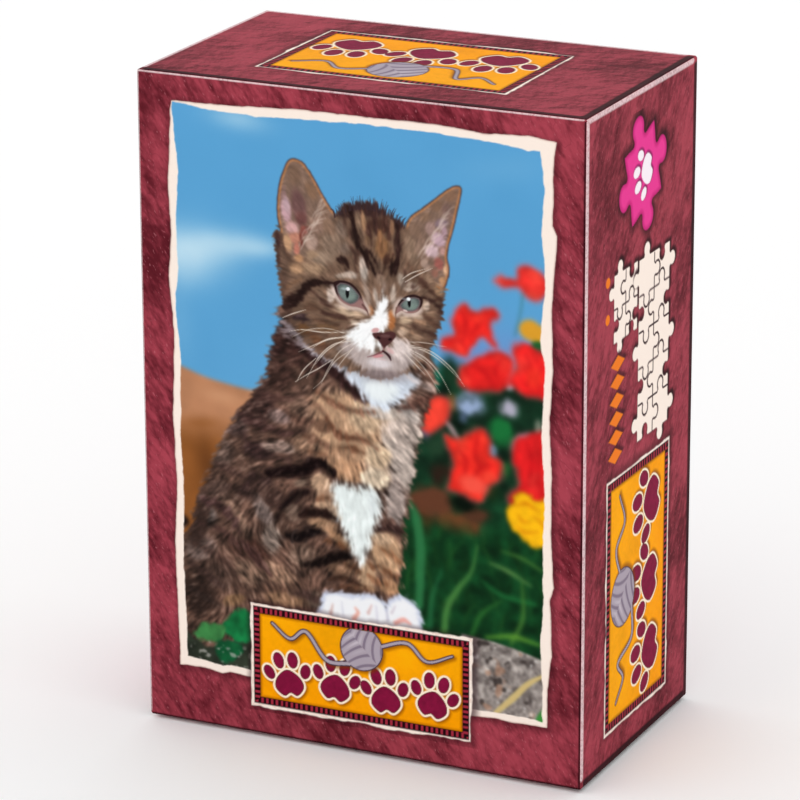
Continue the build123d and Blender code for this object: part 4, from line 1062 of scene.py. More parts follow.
    # Whiskers and the long hairs over the eyes
    whiskers = (
        [(31.6, 61.2), (28.8, 61.5), (26, 61), (23.4, 59.6)],
        [(32.2, 60.6), (29.4, 60.2), (27, 59), (24.4, 57.6)],
        [(32.4, 60.2), (29.8, 59.4), (27.6, 57.4), (25.6, 54)],
        [(32.6, 59.9), (30.6, 58.4), (28.8, 55.6), (27.8, 53.4)],
        [(31.4, 61.3), (28, 60.9), (25.2, 60.9), (23, 60.4)],
        [(22, 62.2), (23.4, 62.9), (24.6, 63.4), (25.6, 63.8)], [(33, 59.6), (31.4, 57.6), (30.2, 56)],
        [(31.8, 60.8), (28.6, 59.8), (26.4, 58.4)],
        [(29.6, 57.2), (27.4, 55.6), (25.8, 54.6), (23.8, 53.2)],
        [(32.8, 59.2), (30, 57), (28, 54), (26.6, 52.6)], [(31.6, 60.4), (28.8, 58.4), (26.8, 56)],
        [(27, 57), (25.2, 55.2), (24, 53.2)], [(41.2, 61.2), (43.6, 61.4), (46.8, 61.2)],
        [(41.2, 60.6), (43.6, 60.2), (46, 59), (48.8, 56.8)],
        [(41, 60.3), (43.6, 59.2), (45.6, 57.4), (47.4, 54.6)],
        [(40.8, 59.9), (42.8, 58.4), (44.4, 56.6), (45.8, 54.6)], [(40.4, 59.6), (42, 58.2), (43.6, 56.8)],
        [(41.4, 60.8), (44.6, 60.2), (47.6, 58.2), (49.4, 56)], [(41, 60), (43.8, 58.6), (45.6, 56.6)],
        [(40.2, 70), (41.6, 71), (43.6, 71.8)], [(40.6, 69.6), (42.4, 70.8), (44.6, 72)],
    )
    rng = np.random.default_rng(27)
    for x in np.linspace(30.0, 40.4, 60) + rng.uniform(-0.2, 0.2, 60):
        tall = rng.uniform(0.5, 1.5) * (1.0 - ((x - 35.6) / 8.0) ** 2)
        z = 79.6 - 0.07 * (x - 35.0) ** 2
        aside = 0.10 * (x - 35.0) + rng.uniform(-0.3, 0.3)
        line([(x, z - 0.5), (x + 0.4 * aside, z + 0.4), (x + aside, z + tall)], (0.08, 0.06, 0.01),
             (58, 42, 46), 0.7, 0.08)
    for k, hairline in enumerate(whiskers):
        line(hairline, (0.03, 0.07, 0.06, 0.01), (236, 222, 208), 0.85 if k % 3 else 0.6, 0.08)


# ---- Jigsaw outlines

TAB_RADIUS, TAB_CENTRE, NECK_RADIUS = 2.1, 2.1, 0.8


def seam(start, end, side, shift, size=1.0):
    """A cut from start up to end. Its tab is a round head on a neck with hollow sides, three arcs that
    touch, on the left (side 1) or the right (side -1) of the way from start to end, or there is none
    (0)."""
    start, end = np.array(start, float), np.array(end, float)
    if side == 0:
        return start + (end - start) * np.linspace(0, 1, 8, endpoint=False)[:, None]
    along = (end - start) / np.hypot(*(end - start))
    out = side * np.array([-along[1], along[0]])
    head, neck = TAB_RADIUS * size, NECK_RADIUS * size
    rise = (TAB_CENTRE - NECK_RADIUS) * size
    spread = np.sqrt((head + neck) ** 2 - rise ** 2)
    lean = np.arctan2(rise, spread)
    hollow = np.linspace(-pi / 2, lean, 6)
    left = np.stack([neck * np.cos(hollow) - spread, neck + neck * np.sin(hollow)], -1)
    sweep = np.linspace(pi + lean, -lean, 19)[1:-1]
    top = np.stack([head * np.cos(sweep), TAB_CENTRE * size + head * np.sin(sweep)], -1)
    tab = np.vstack([left, top, left[::-1] * (-1, 1)])
    foot = (start + end) / 2 + along * shift
    bent = foot + tab[:, :1] * along + tab[:, 1:] * out
    before = start + (bent[0] - start) * np.linspace(0, 1, 6, endpoint=False)[:, None]
    after = bent[-1] + (end - bent[-1]) * np.linspace(0, 1, 6, endpoint=False)[1:, None]
    return np.vstack([before, bent, after])


def tabbed_square(x, z, half, lean, size):
    """A jigsaw piece with a tab on each side and hollow edges, as a closed outline turned by lean degrees:
    a square whose corners are drawn out and whose middles are drawn in, as the cosine of four times the
    angle."""
    c, s = cos(radians(lean)), sin(radians(lean))
    corners = [(x + a * c - b * s, z + a * s + b * c) for a, b in
               ((-half, -half), (half, -half), (half, half), (-half, half))]
    line = np.vstack([seam(corners[k], corners[(k + 1) % 4], -1, 0.0, size) for k in range(4)]) - (x, z)
    angle = np.arctan2(line[:, 1], line[:, 0]) - radians(lean)
    return line * (1 - 0.06 * np.cos(4 * angle))[:, None] + (x, z)


# ---- Printed artwork

AMBER, CREAM, WINE, INK = srgb(250, 168, 4), srgb(252, 236, 224), srgb(128, 20, 58), srgb(30, 8, 14)
UMBER, ORANGE = srgb(120, 60, 0), srgb(240, 124, 32)


def torn(c, p0, q0, p1, q1, ragged, seed):
    """How far inside a torn rectangle each place lies: the distance to its nearest side, made uneven."""
    box = np.minimum(np.minimum(c.x - p0, p1 - c.x), np.minimum(c.z - q0, q1 - c.z))
    return box + ragged * (0.75 * c.noise(3.4, seed) + 0.45 * c.noise(1.1, seed + 1, 2))


PAD = [(-0.62, -0.50), (-0.30, -0.84), (0.0, -0.72), (0.30, -0.84), (0.62, -0.50), (0.48, -0.08),
       (0.0, 0.22), (-0.48, -0.08)]
TOES = ((-0.80, 0.14, 0.21, 0.30, 24), (-0.31, 0.62, 0.22, 0.33, 6), (0.31, 0.62, 0.22, 0.33, -6),
        (0.80, 0.14, 0.21, 0.30, -24))


def turn_by(angle):
    """The matrix that turns rows of x and z by an angle in radians, from x towards z."""
    return np.array([[cos(angle), sin(angle)], [-sin(angle), cos(angle)]])


def paw(c, x, z, size, lean):
    """How far inside a paw print each place lies: a pad and four toes."""
    turn = turn_by(radians(lean)) * size
    depth = c.depth(np.array(PAD) @ turn + (x, z))
    for tx, tz, rx, rz, toe_lean in TOES:
        ring = np.linspace(0, 2 * pi, 12, endpoint=False)
        toe = np.stack([rx * np.cos(ring), rz * np.sin(ring)], -1)
        toe = toe @ turn_by(radians(toe_lean)) + (tx, tz)
        depth = np.maximum(depth, c.depth(toe @ turn + (x, z)))
    return depth


def shadow(c, depth, right, down, low, high, amount, tint=INK, within=1.0):
    """The soft shadow of a printed shape: the same shape moved to the right and down, painted before it."""
    i, j = int(round(right / c.pitch)), int(round(down / c.pitch))
    wide = np.pad(depth, 4, mode="edge")
    moved = wide[4 + j:4 + j + depth.shape[0], 4 - i:4 - i + depth.shape[1]]
    c.paint(tint, amount * ramp(low, high, moved) * within)


def plaque(c, p, q, width, height, prints_across, seed):
    """An amber plaque with a stitched border on torn cream paper, a row of paw prints and a ball of wool. p
    and q are its lower left corner, to the outside of the torn paper."""
    right, top = p + width, q + height
    paper = torn(c, p + 0.35, q + 0.35, right - 0.35, top - 0.35, 0.30, seed)
    shadow(c, paper, 0.25, 0.25, -1.3, 0.2, 0.55)
    c.paint(CREAM, ramp(-0.12, 0.12, paper))
    c.paint(srgb(232, 200, 188), ramp(-0.1, 0.1, c.noise(0.7, seed + 2, 2) - 0.25) * 0.5
            * ramp(0.0, 0.2, paper))
    hem = 0.75
    band = 0.62 + 0.024 * height
    box = np.minimum(np.minimum(c.x - p, right - c.x), np.minimum(c.z - q, top - c.z)) - hem
    c.paint(INK, ramp(-0.12, 0.08, box))
    lengthwise = np.minimum(c.x - p, right - c.x) > np.minimum(c.z - q, top - c.z)
    run = np.where(lengthwise, c.x, c.z) + 0.05 * c.noise(1.3, seed + 3)
    stitch = ramp(-0.25, 0.35, np.sin(2 * pi * run / (0.60 + 0.011 * height)))
    c.paint(srgb(160, 44, 62), stitch * ramp(0.04, 0.18, box) * ramp(band - 0.02, band - 0.16, box))
    inner = box - band
    grain = c.noise(5.0, seed + 4, 3)
    brushed = c.noise(0.5, seed + 5, 2)
    paler = srgb(4, -8, -4) * ramp(top, q, c.z)[..., None]
    amber = AMBER * (1 + 0.05 * grain + 0.025 * brushed)[..., None] + paler
    c.paint(amber, ramp(-0.06, 0.08, inner))
    c.paint(srgb(150, 80, 0), 0.55 * ramp(0.55, 0.0, inner) * ramp(-0.06, 0.08, inner))

    # Paw prints, each in wine with a cream outline and a shadow
    middle, line = (p + right) / 2, q + height * 0.37
    step = (width - 4.6) / prints_across
    size = min(height * 0.27, step * 0.475)
    prints = np.full(c.x.shape, -4.0)
    for k in range(prints_across):
        place = middle + (k - (prints_across - 1) / 2) * step
        lift, lean = 0.25 if k % 2 else -0.25, (9, -7, 6, -10)[k]
        prints = np.maximum(prints, paw(c, place, line + lift, size, lean))
    inside = ramp(-0.05, 0.1, inner)
    shadow(c, prints, 0.25, 0.3, -0.75, 0.1, 0.75, UMBER, inside)
    c.paint(srgb(255, 238, 214), ramp(-0.46, -0.28, prints) * inside)
    c.paint(srgb(92, 16, 34), ramp(-0.10, 0.02, prints))
    shine = 1 + 0.10 * c.noise(0.6, seed + 6, 2)
    c.paint(WINE * shine[..., None], ramp(0.0, 0.14, prints))

    # The ball of wool and its loose end
    x, z, r = middle + 0.2, q + height * 0.72, min(height * 0.2, width * 0.11)
    far = width * 0.40
    end = c.stroke([
        (x - r * 0.6, z - r * 0.8), (x - r * 1.7, z - r * 0.8), (x - far * 0.62, z + r * 0.35),
        (x - far * 0.8, z - r * 0.1), (x - far, z + r * 0.5),
    ], (0.30, 0.28, 0.18))
    tail = c.stroke([
        (x + r * 0.8, z + r * 0.2), (x + far * 0.5, z + r * 0.6), (x + far * 0.72, z - r * 0.1),
        (x + far, z + r * 0.35),
    ], (0.26, 0.26, 0.16))
    ball = r - np.hypot(c.x - x, c.z - z)
    wool = np.maximum(np.maximum(end, tail), ball)
    shadow(c, wool, 0.25, 0.3, -0.6, 0.2, 0.6, UMBER, inside)
    c.paint(srgb(66, 52, 66), ramp(-0.2, -0.02, wool) * inside)
    c.paint(srgb(172, 160, 172), ramp(0.0, 0.1, wool) * inside)
    u, v = (c.x - x) / r, (c.z - z) / r
    ply = np.where(u + v > 0.1, np.sin(15 * (u - 0.35 * v ** 2)),
                   np.sin(15 * (v * 0.9 - u * 0.35 + 0.3 * u ** 2)))
    c.paint(srgb(116, 102, 120), ramp(0.25, 0.95, ply) * 0.75 * ramp(0.0, 0.2, ball))
    c.paint(srgb(206, 196, 204), ramp(0.3, 0.95, -ply) * ramp(0.9, -0.3, np.hypot(u + 0.35, v - 0.35))
            * ramp(0.1, 0.3, ball))


# The torn edges of the picture's paper, outside and inside, from the lower left corner round to the right
TORN_OUT = [
    (5.1, 8.5), (9, 8.6), (11.8, 8.2), (13, 8.6), (16, 8.4), (34, 8.6), (50, 8.3), (54, 8.6), (57, 8.4),
    (61.9, 8.5), (61.9, 14), (62.5, 19), (62.2, 27), (62.7, 29), (62.3, 35), (62.3, 46), (61.9, 53),
    (62.4, 60), (62.1, 68), (62.8, 78.6), (62.2, 80), (62.2, 88), (62.6, 91.4), (58.5, 91.9), (52, 91.5),
    (46, 92), (36, 91.9), (26, 91.9), (16, 91.4), (9, 91.2), (5.3, 91.1), (4.6, 80), (4.9, 72), (4.4, 66),
    (5.1, 58), (4.7, 46), (5.1, 36), (4.6, 27), (4.9, 17),
]
TORN_IN = [
    (6.2, 9.9), (9, 9.7), (11.9, 9.3), (13.2, 9.7), (16, 9.5), (34, 9.6), (50, 9.3), (57, 9.5), (61.2, 9.2),
    (61.2, 14), (60.8, 20), (61.2, 27), (61, 34), (61.3, 42), (60.8, 50), (61.2, 60), (60.5, 64),
    (61.2, 72), (60.6, 79), (61, 85), (60.3, 90), (58.4, 89.9), (54, 90.4), (46, 90.8), (36, 90.9),
    (26, 90.6), (18, 90.2), (11, 90.4), (5.3, 91), (6.2, 81), (5.7, 74), (5.9, 67), (5.4, 62), (6.1, 54),
    (5.8, 44), (6.2, 34), (5.9, 24), (6.3, 14),
]


def paint_front():
    """The lid's panel: the kitten's picture, torn round the edge, with the plaque over its foot."""
    picture = Canvas(PICTURE, FINE)
    paint_background(picture)
    paint_head(picture, *paint_kitten(picture))
    sheet = Canvas(picture.bounds, picture.pitch)
    torn_out = sheet.depth(TORN_OUT, smooth=False) + 0.12 * sheet.noise(1.6, 42, 3)
    torn_in = sheet.depth(TORN_IN, smooth=False) + 0.16 * sheet.noise(1.3, 44, 3)
    torn_in = np.minimum(torn_in, torn_out - 0.15)
    shadow(sheet, torn_out, 0.25, 0.25, -1.1, 0.2, 0.5)
    sheet.paint(CREAM, ramp(-0.10, 0.10, torn_out))
    sheet.paint(srgb(222, 190, 178), 0.6 * ramp(0.3, 0.0, torn_out) * ramp(-0.1, 0.1, torn_out))
    sheet.paint(np.clip(picture.colour, 0, 1), ramp(-0.10, 0.10, torn_in))
    plaque(sheet, 16.1, 3.9, 34.8, 16.1, 4, 51)
    return picture, sheet


def interlocked(c, p, q, columns, rows, wide, high, size, seed):
    """A block of interlocked jigsaw pieces in cream with dark seams and a shadow. Its outside has tabs and
    hollows too."""
    def corner(i, j):
        return p + i * wide, q + j * high
    def side(i, j):
        return 1 if (i + j + seed) % 2 else -1
    outline = [seam(corner(i, 0), corner(i + 1, 0), side(i, 0), 0.0, size) for i in range(columns)]
    outline += [seam(corner(columns, j), corner(columns, j + 1), side(columns, j), 0.0, size)
                for j in range(rows)]
    outline += [seam(corner(i + 1, rows), corner(i, rows), side(i, rows), 0.0, size)
                for i in reversed(range(columns))]
    outline += [seam(corner(0, j + 1), corner(0, j), side(0, j), 0.0, size) for j in reversed(range(rows))]
    block = c.depth(np.vstack(outline), smooth=False)
    shadow(c, block, 0.4, 0.4, -0.75, 0.1, 0.9)
    c.paint(CREAM, ramp(-0.1, 0.1, block))
    cuts = [(corner(i, j), corner(i, j + 1)) for i in range(1, columns) for j in range(rows)]
    cuts += [(corner(i, j), corner(i + 1, j)) for i in range(columns) for j in range(1, rows)]
    for k, (start, end) in enumerate(cuts):
        line = seam(start, end, 1 if k % 2 else -1, 0.0, size)
        c.paint(INK, 0.9 * ramp(-0.08, 0.06, c.stroke(line, (0.12, 0.16, 0.12), steps=1)))


def paint_long_side():
    """A long wall, read with its top towards the picture: plaque, interlocked cream pieces, a pink piece
    and amber marks."""
    c = Canvas((3.0, 6.4, 92.0, 32.2), COARSE)
    plaque(c, 4.4, 7.9, 38.0, 23.4, 3, 61)
    interlocked(c, 61.4, 20.9, 2, 2, 4.8, 4.1, 0.42, 1)
    interlocked(c, 44.8, 9.3, 5, 2, 5.2, 5.5, 0.48, 0)
    for k in range(6):
        mark = 0.95 * (1 - np.abs(c.x - 45.2 - 2.62 * k) / 1.15 - np.abs(c.z - 28.1 + 0.12 * k) / 2.5)
        shadow(c, mark, 0.25, 0.25, -0.5, 0.1, 0.7)
        c.paint(ORANGE, ramp(-0.1, 0.1, mark))
    for p in (65.4, 70.6):
        c.paint(ORANGE, ramp(-0.1, 0.1, 0.75 - np.hypot(c.x - p, c.z - 31.3)))
    piece = c.depth(tabbed_square(82.9, 19.4, 5.05, 16, 0.98), smooth=False)
    shadow(c, piece, 0.15, 0.15, -1.8, 0.2, 0.86)
    pink = srgb(232, 58, 146) + (srgb(200, 36, 118) - srgb(232, 58, 146)) * ramp(1.0, 0.0, piece)[..., None]
    c.paint(pink, ramp(-0.12, 0.12, piece))
    mark = paw(c, 82.9, 19.2, 3.6, 12)
    shadow(c, mark, 0.2, 0.2, -0.4, 0.1, 0.8, srgb(120, 20, 80))
    c.paint(srgb(250, 240, 246), ramp(-0.08, 0.1, mark))
    return c


def paint_short_side():
    """A short wall, read the same way, with only a plaque."""
    c = Canvas((13.0, 6.4, 54.0, 32.2), COARSE)
    plaque(c, 14.8, 7.0, 38.4, 24.6, 3, 71)
    return c


# ---- Wraps: one sheet of paper round each board, folded over its rim

def rounded_ring(offset, radius, stops_x, stops_z, half):
    """A rounded rectangle, seen with x to the right and z up, from its bottom side round to the right. Each
    side has points at fractions of its straight length, and each corner seven points on an arc."""
    hx, hz = half - offset - radius
    arc = np.linspace(0, pi / 2, 7)
    ring = []
    for k, (stops, length) in enumerate(((stops_x, hx), (stops_z, hz), (stops_x, hx), (stops_z, hz))):
        out, across = (hz, hx) if k % 2 == 0 else (hx, hz)
        straight = np.stack([(stops * 2 - 1) * across, np.full(len(stops), -out - radius)], -1)
        corner = np.stack([across + radius * np.sin(arc), -out - radius * np.cos(arc)], -1)
        ring.append(np.vstack([straight, corner]) @ turn_by(k * pi / 2))
    return np.vstack(ring)


def wrap(name, low, high, front, windows, node, body):
    """The paper of a box half whose panel faces -Y (front 1) or +Y (front -1). Its profile goes from the
    panel round a quarter circle of radius EDGE, down the wall, round the rim in two small quarter circles,
    and TURN_IN down the inside. windows are the boxes that painted sheets fill instead."""
    half = np.array([high[0] - low[0], high[2] - low[2]]) / 2
    deep = high[1] - low[1]
    start = 3.5 if windows else 2.6
    near_edge = (1.6, 1.0, 0.65)
    profile = [(inset, 0.0, 0.0) for inset in (start, *near_edge, EDGE)]
    for a in np.linspace(0, pi / 2, 7)[1:]:
        profile.append((EDGE * (1 - np.sin(a)), EDGE * np.sin(a), EDGE * (1 - np.cos(a))))
    near_rim = [deep - d for d in (6.4, *near_edge, 0.45)]
    for d in (*near_edge[::-1], 6.8, 12.0, 19.0, 26.0, *near_rim):
        profile.append((0.0, EDGE, d))
    fold = 0.25
    for a in np.linspace(0, pi / 2, 5):
        profile.append((fold * (1 - np.cos(a)), EDGE - fold * (1 - np.cos(a)), deep - fold * (1 - np.sin(a))))
    for a in np.linspace(pi / 2, 0, 5):
        profile.append((WALL - fold * (1 - np.cos(a)), 0.0, deep - fold * (1 - np.sin(a))))
    profile.append((WALL, 0.0, deep - TURN_IN))

    stops = []
    for length, inset in zip(half * 2 - 2 * EDGE, (13.0, 3.0)):
        near = [0.25, 0.6, 1.2] + ([inset - EDGE] if windows else [inset])
        middle = np.linspace(inset - EDGE, length - inset + EDGE, 12)[1:-1]
        stops.append(np.array(near + list(middle) + [length - v for v in near[::-1]]) / length)
    points = []
    for offset, radius, d in profile:
        ring = rounded_ring(offset, radius, stops[0], stops[1], half)
        if windows and offset == start:
            ring[:, 1] += np.where(ring[:, 1] > 0, PICTURE[3] - (HEIGHT - start), 0.0)
        y = low[1] + d if front == 1 else high[1] - d
        points.append(np.stack([ring[:, 0], np.full(len(ring), y), ring[:, 1] + MIDDLE], -1))
    around = len(points[0])
    points = np.vstack(points)
    faces = np.array(grid_faces(len(profile), around, around=True))
    centres = points[faces].mean(1)
    keep = np.ones(len(faces), bool)
    for window_low, window_high in windows:
        keep &= ~np.all((centres > window_low) & (centres < window_high), 1)
    faces = faces[keep]
    if front == 1:
        faces = faces[:, ::-1]
    faces = faces.tolist()
    if not windows:
        faces.append(list(range(around)) if front == 1 else list(range(around))[::-1])
    piece = make_piece(name, points, faces, [leather], body, [node], smooth=True)
    fill = bmesh.new()
    fill.from_mesh(piece.data)
    bmesh.ops.remove_doubles(fill, verts=fill.verts, dist=0.005 * MM)
    fill.to_mesh(piece.data)
    fill.free()
    solid = piece.modifiers.new("paper", "SOLIDIFY")
    solid.thickness = PAPER * MM
    solid.offset = -1.0
    solid.use_even_offset = True
    apply_modifiers(piece)
    piece.data.set_sharp_from_angle(angle=radians(30))
    if windows:
        painted_edge_light(piece)


def painted_edge_light(piece):
    """The lid's thin painted edge light, as a point attribute: 1 along each face's left and top edges, where
    a pale highlight is painted, and -1 along its right and bottom edges, where dark shade is painted, as of a
    bevel lit from the upper left. A point belongs to the face whose plane is nearest."""
    place = np.zeros(len(piece.data.vertices) * 3)
    piece.data.vertices.foreach_get("co", place)
    x, y, z = (place.reshape(-1, 3) / MM).T
    left, right, down, up = x - lid_low[0], lid_high[0] - x, z - lid_low[2], lid_high[2] - z
    ahead, behind = y - lid_low[1], lid_high[1] - y
    side = np.array([left, right, ahead, down, up]).argmin(0)
    pale_edges = ((behind, up), (ahead, up), (left, up), (left, ahead), (left, behind))
    dark_edges = ((ahead, down), (behind, down), (right, down), (right, behind), (right, ahead))
    pale, dark = (np.choose(side, [np.minimum(*pair) for pair in edges])
                  for edges in (pale_edges, dark_edges))
    panel = side == 2
    wide = np.where(panel, 0.6, 1.35)
    thin = np.where(panel, 0.45, 0.85)
    # Painted highlight where the value is positive, painted shade where it is negative
    value = ramp(thin, thin - 0.3, pale) - ramp(wide, wide - 0.4, dark)
    off_rim = (behind > 0.5) | (np.array([left, right, down, up]).min(0) < 0.3)
    value = value * off_rim
    attribute = piece.data.attributes.new("painted_edge_light", "FLOAT", "POINT")
    attribute.data.foreach_set("value", value.astype(np.float32))


def painted_sheet(name, canvas, origin, right, up, bands=1):
    """A sheet of paper with its artwork on a grid of points: origin + right x + up z for each place on the
    canvas. It is PAPER thick, with a skirt round it and one face behind."""
    origin, right, up = (np.array(v, float) for v in (origin, right, up))
    out = np.cross(right, up)
    rows, columns = canvas.x.shape
    edges = np.linspace(0, rows - 1, bands + 1).astype(int)
    for band, (first, last) in enumerate(zip(edges, edges[1:])):
        part = slice(first, last + 1)
        x, z = canvas.x[part].reshape(-1, 1), canvas.z[part].reshape(-1, 1)
        points = origin + right * x + up * z
        high = last - first + 1
        number = np.arange(high * columns).reshape(high, columns)
        rim = np.concatenate([number[0, :-1], number[:-1, -1], number[-1, :0:-1], number[:0:-1, 0]])
        back = np.arange(len(rim)) + high * columns
        faces = grid_faces(high, columns)
        skirt = np.stack([np.roll(rim, -1), rim, back, np.roll(back, -1)], -1).tolist()
        points = np.vstack([points, points[rim] - out * PAPER])
        title = f"{name}_{band + 1}" if bands > 1 else name
        faces += skirt + [back[::-1].tolist()]
        piece = make_piece(title, points, faces, [artwork], "lid", ["lid_wrap"])
        light = linear(np.clip(canvas.colour[part], 0, 1))
        ink = np.concatenate([light, canvas.cover[part][..., None]], -1).reshape(-1, 4)
        colour_points(piece, "ink", np.vstack([ink, ink[rim]]))


leather = printed_paper("printed_leather", painted=False)
artwork = printed_paper("printed_artwork", painted=True)
picture, front_art = paint_front()
long_art, short_art = paint_long_side(), paint_short_side()
(x0, y0, z0), (x1, y1, z1) = lid_low, lid_high
p0, q0, p1, q1 = long_art.bounds
s0, _, s1, _ = short_art.bounds
window_y = (y1 - q1, y1 - q0)
windows = [
    ((-50, window_y[0], p0), (50, window_y[1], p1)),
    ((x0 + s0, window_y[0], -5), (x0 + s1, window_y[1], 100)),
]
wrap("lid_paper", lid_low, lid_high, 1, windows, "lid_wrap", "lid")
wrap("tray_paper", tray_low, tray_high, -1, [], "base_wrap", "base")
painted_sheet("front_art", front_art, (x0, y0, z0), (1, 0, 0), (0, 0, 1), bands=4)
painted_sheet("right_art", long_art, (x1, y1, z0), (0, 0, 1), (0, -1, 0))
painted_sheet("left_art", long_art, (x0, y1, z1), (0, 0, -1), (0, -1, 0))
painted_sheet("top_art", short_art, (x1, y1, z1), (-1, 0, 0), (0, -1, 0))
painted_sheet("bottom_art", short_art, (x0, y1, z0), (1, 0, 0), (0, -1, 0))


# ---- The puzzle's pieces and their bag

PUZZLE_WIDTH, PUZZLE_HEIGHT = 115.0, 160.0
PIECES_ACROSS, PIECES_UP = 6, 9
STEP_ACROSS, STEP_UP = PUZZLE_WIDTH / PIECES_ACROSS, PUZZLE_HEIGHT / PIECES_UP
HALF_THICK = 0.8
PIECE_REACH = 13.9  # from a piece's middle to its furthest tab
GOLDEN_ANGLE = 137.5  # degrees that each piece in the heap is turned by, past the one before
SHOWN_LOW, SHOWN_SIZE = (5.6, 9.0), (55.4, 82.0)  # the part of the lid's picture that the puzzle shows


def crossing(column, row):
    """Where the cuts left of a column and under a row meet on the finished puzzle, a little off the square
    inside it."""
    x, z = column * STEP_ACROSS, row * STEP_UP
    if 0 < column < PIECES_ACROSS:
        x += 0.6 * sin(2.3 * column + 1.7 * row)
    if 0 < row < PIECES_UP:
        z += 0.6 * cos(1.9 * column - 2.6 * row)
    return np.array([x, z])


def cut(column, row, upwards, reverse):
    """The cut from a crossing to the one right of it or above it. The puzzle's outside is straight."""
    sign = -1 if (column + row) % 2 else 1
    start, end = crossing(column, row), crossing(column + (not upwards), row + upwards)
    if upwards:
        side, shift = -sign * (0 < column < PIECES_ACROSS), cos(2.7 * column + 1.1 * row)
    else:
        side, shift = sign * (0 < row < PIECES_UP), sin(3.1 * column + 1.3 * row)
    line = seam(start, end, side, shift)
    return np.vstack([line, end])[::-1][:-1] if reverse else line


def drawn_in(line, inset):
    """A closed line moved inwards by inset, along the mean of its two edges' normals at each point."""
    edge = np.roll(line, -1, 0) - line
    edge /= np.linalg.norm(edge, axis=1)[:, None]
    along = edge + np.roll(edge, 1, 0)
    along /= np.linalg.norm(along, axis=1)[:, None]
    return line + inset * np.stack([-along[:, 1], along[:, 0]], -1)


def triangles(line, inner=()):
    """Triangles that fill a closed line, with some points inside it."""
    corners = [Vector(p) for p in line] + [Vector(p) for p in inner]
    _, _, faces, kept, _, _ = delaunay_2d_cdt(corners, [], [list(range(len(line)))], 1, 1e-5, True)
    return [[kept[k][0] for k in face] for face in faces]


def rotation(axis, angle):
    """The matrix of a turn about one axis."""
    return np.array(Matrix.Rotation(angle, 3, axis))


def jigsaw_piece(column, row, turn, place, colours):
    """One piece: its face is at z 0.8 and its back at z -0.8 before it is turned. The die has rounded the
    face's edge."""
    outline = np.vstack([cut(column, row, False, False), cut(column + 1, row, True, False),
                         cut(column, row + 1, False, True), cut(column, row, True, True)])
    middle = np.array([(column + 0.5) * STEP_ACROSS, (row + 0.5) * STEP_UP])
    layers = ((0.30, 0.80), (0.10, 0.75), (0.0, 0.58), (0.0, -0.62), (0.12, -0.80))
    rings = [np.column_stack([drawn_in(outline, inset), np.full(len(outline), high)])
             for inset, high in layers]
    low, high = outline.min(0), outline.max(0)
    x, z = np.meshgrid(np.arange(low[0], high[0], 0.55), np.arange(low[1], high[1], 0.48))
    x[1::2] += 0.275
    inner = np.stack([x, z], -1)[depth_inside(x, z, rings[0][:, :2]) > 0.25]
    around, rims = len(outline), len(rings)
    points = np.vstack(rings + [np.column_stack([inner, np.full(len(inner), HALF_THICK)])])
    first = around * rims
    face = [[k if k < around else k - around + first for k in f] for f in triangles(rings[0][:, :2], inner)]
    sides = [f[::-1] for f in grid_faces(rims, around, around=True)]
    back = [[k + around * (rims - 1) for k in f[::-1]] for f in triangles(rings[-1][:, :2])]
    flat = points - (*middle, 0)
    world = (flat @ turn.T)[:, (0, 2, 1)] * (1, -1, 1) + place
    printed = [0] * (len(face) + around) + [1] * (len(sides) - around + len(back))
    name = f"r{PIECES_UP - row}_c{column + 1}"
    piece = make_piece(f"jigsaw_{name}", world, face + sides + back, [puzzle_print, puzzle_board], "bag",
                       [f"piece_{name}"], smooth=True, finish_of_face=printed)
    piece.data.set_sharp_from_angle(angle=radians(40))
    grid_x = (SHOWN_LOW[0] + points[:, 0] / PUZZLE_WIDTH * SHOWN_SIZE[0] - PICTURE[0]) / FINE
    grid_z = (SHOWN_LOW[1] + points[:, 1] / PUZZLE_HEIGHT * SHOWN_SIZE[1] - PICTURE[1]) / FINE
    ink = np.ones((len(points), 4))
    ink[:, :3] = colours[grid_z.round().astype(int), grid_x.round().astype(int)]
    colour_points(piece, "ink", ink)
    return world


def puzzle_faces():
    """The pieces' printed face, glossy, with the picture they carry, and their die-cut grey board."""
    face = Finish("puzzle_print")
    ink = face.add("ShaderNodeAttribute", {"attribute_name": "ink"}, (), "Color")
    linen = face.noise(0.5, 2.0)
    face.set(base_color=ink, roughness=linen * 0.15 + 0.25, specular_ior_level=0.4)
    face.bump(linen * 0.02, 0.4, 1.0)
    board = Finish("puzzle_board")
    fibre = board.noise(0.5, 4.0, (1, 1, 1), 0.7)
    speck = board.noise(0.22, 1.0)
    grey = board.mix(fibre.between(0.3, 0.7), screen(150, 143, 134), screen(182, 176, 166))
    grey = board.mix(speck.between(0.62, 0.72) * 0.5, grey, screen(104, 98, 92))
    board.set(base_color=grey, roughness=0.9, specular_ior_level=0.2)
    board.bump(fibre * 0.12, 0.6, 1.0)
    return face.material, board.material


def greyboard():
    """Recycled board: grey, with paler and darker fibres."""
    f = Finish("greyboard")
    fibre = f.noise(0.8, 5.0, (1, 1, 2), 0.7)
    cloud = f.noise(9.0, 2.0)
    speck = f.noise(0.3, 1.0, (1, 1, 3))
    grey = f.mix(fibre.between(0.28, 0.72), screen(142, 136, 126), screen(176, 170, 160))
    grey = f.mix(cloud.between(0.35, 0.65) * 0.25, grey, screen(158, 148, 134))
    grey = f.mix(speck.between(0.63, 0.72) * 0.6, grey, screen(88, 84, 80))
    f.set(base_color=grey, roughness=0.92, specular_ior_level=0.2)
    f.bump(fibre * 0.10, 0.6, 1.0)
    return f.material


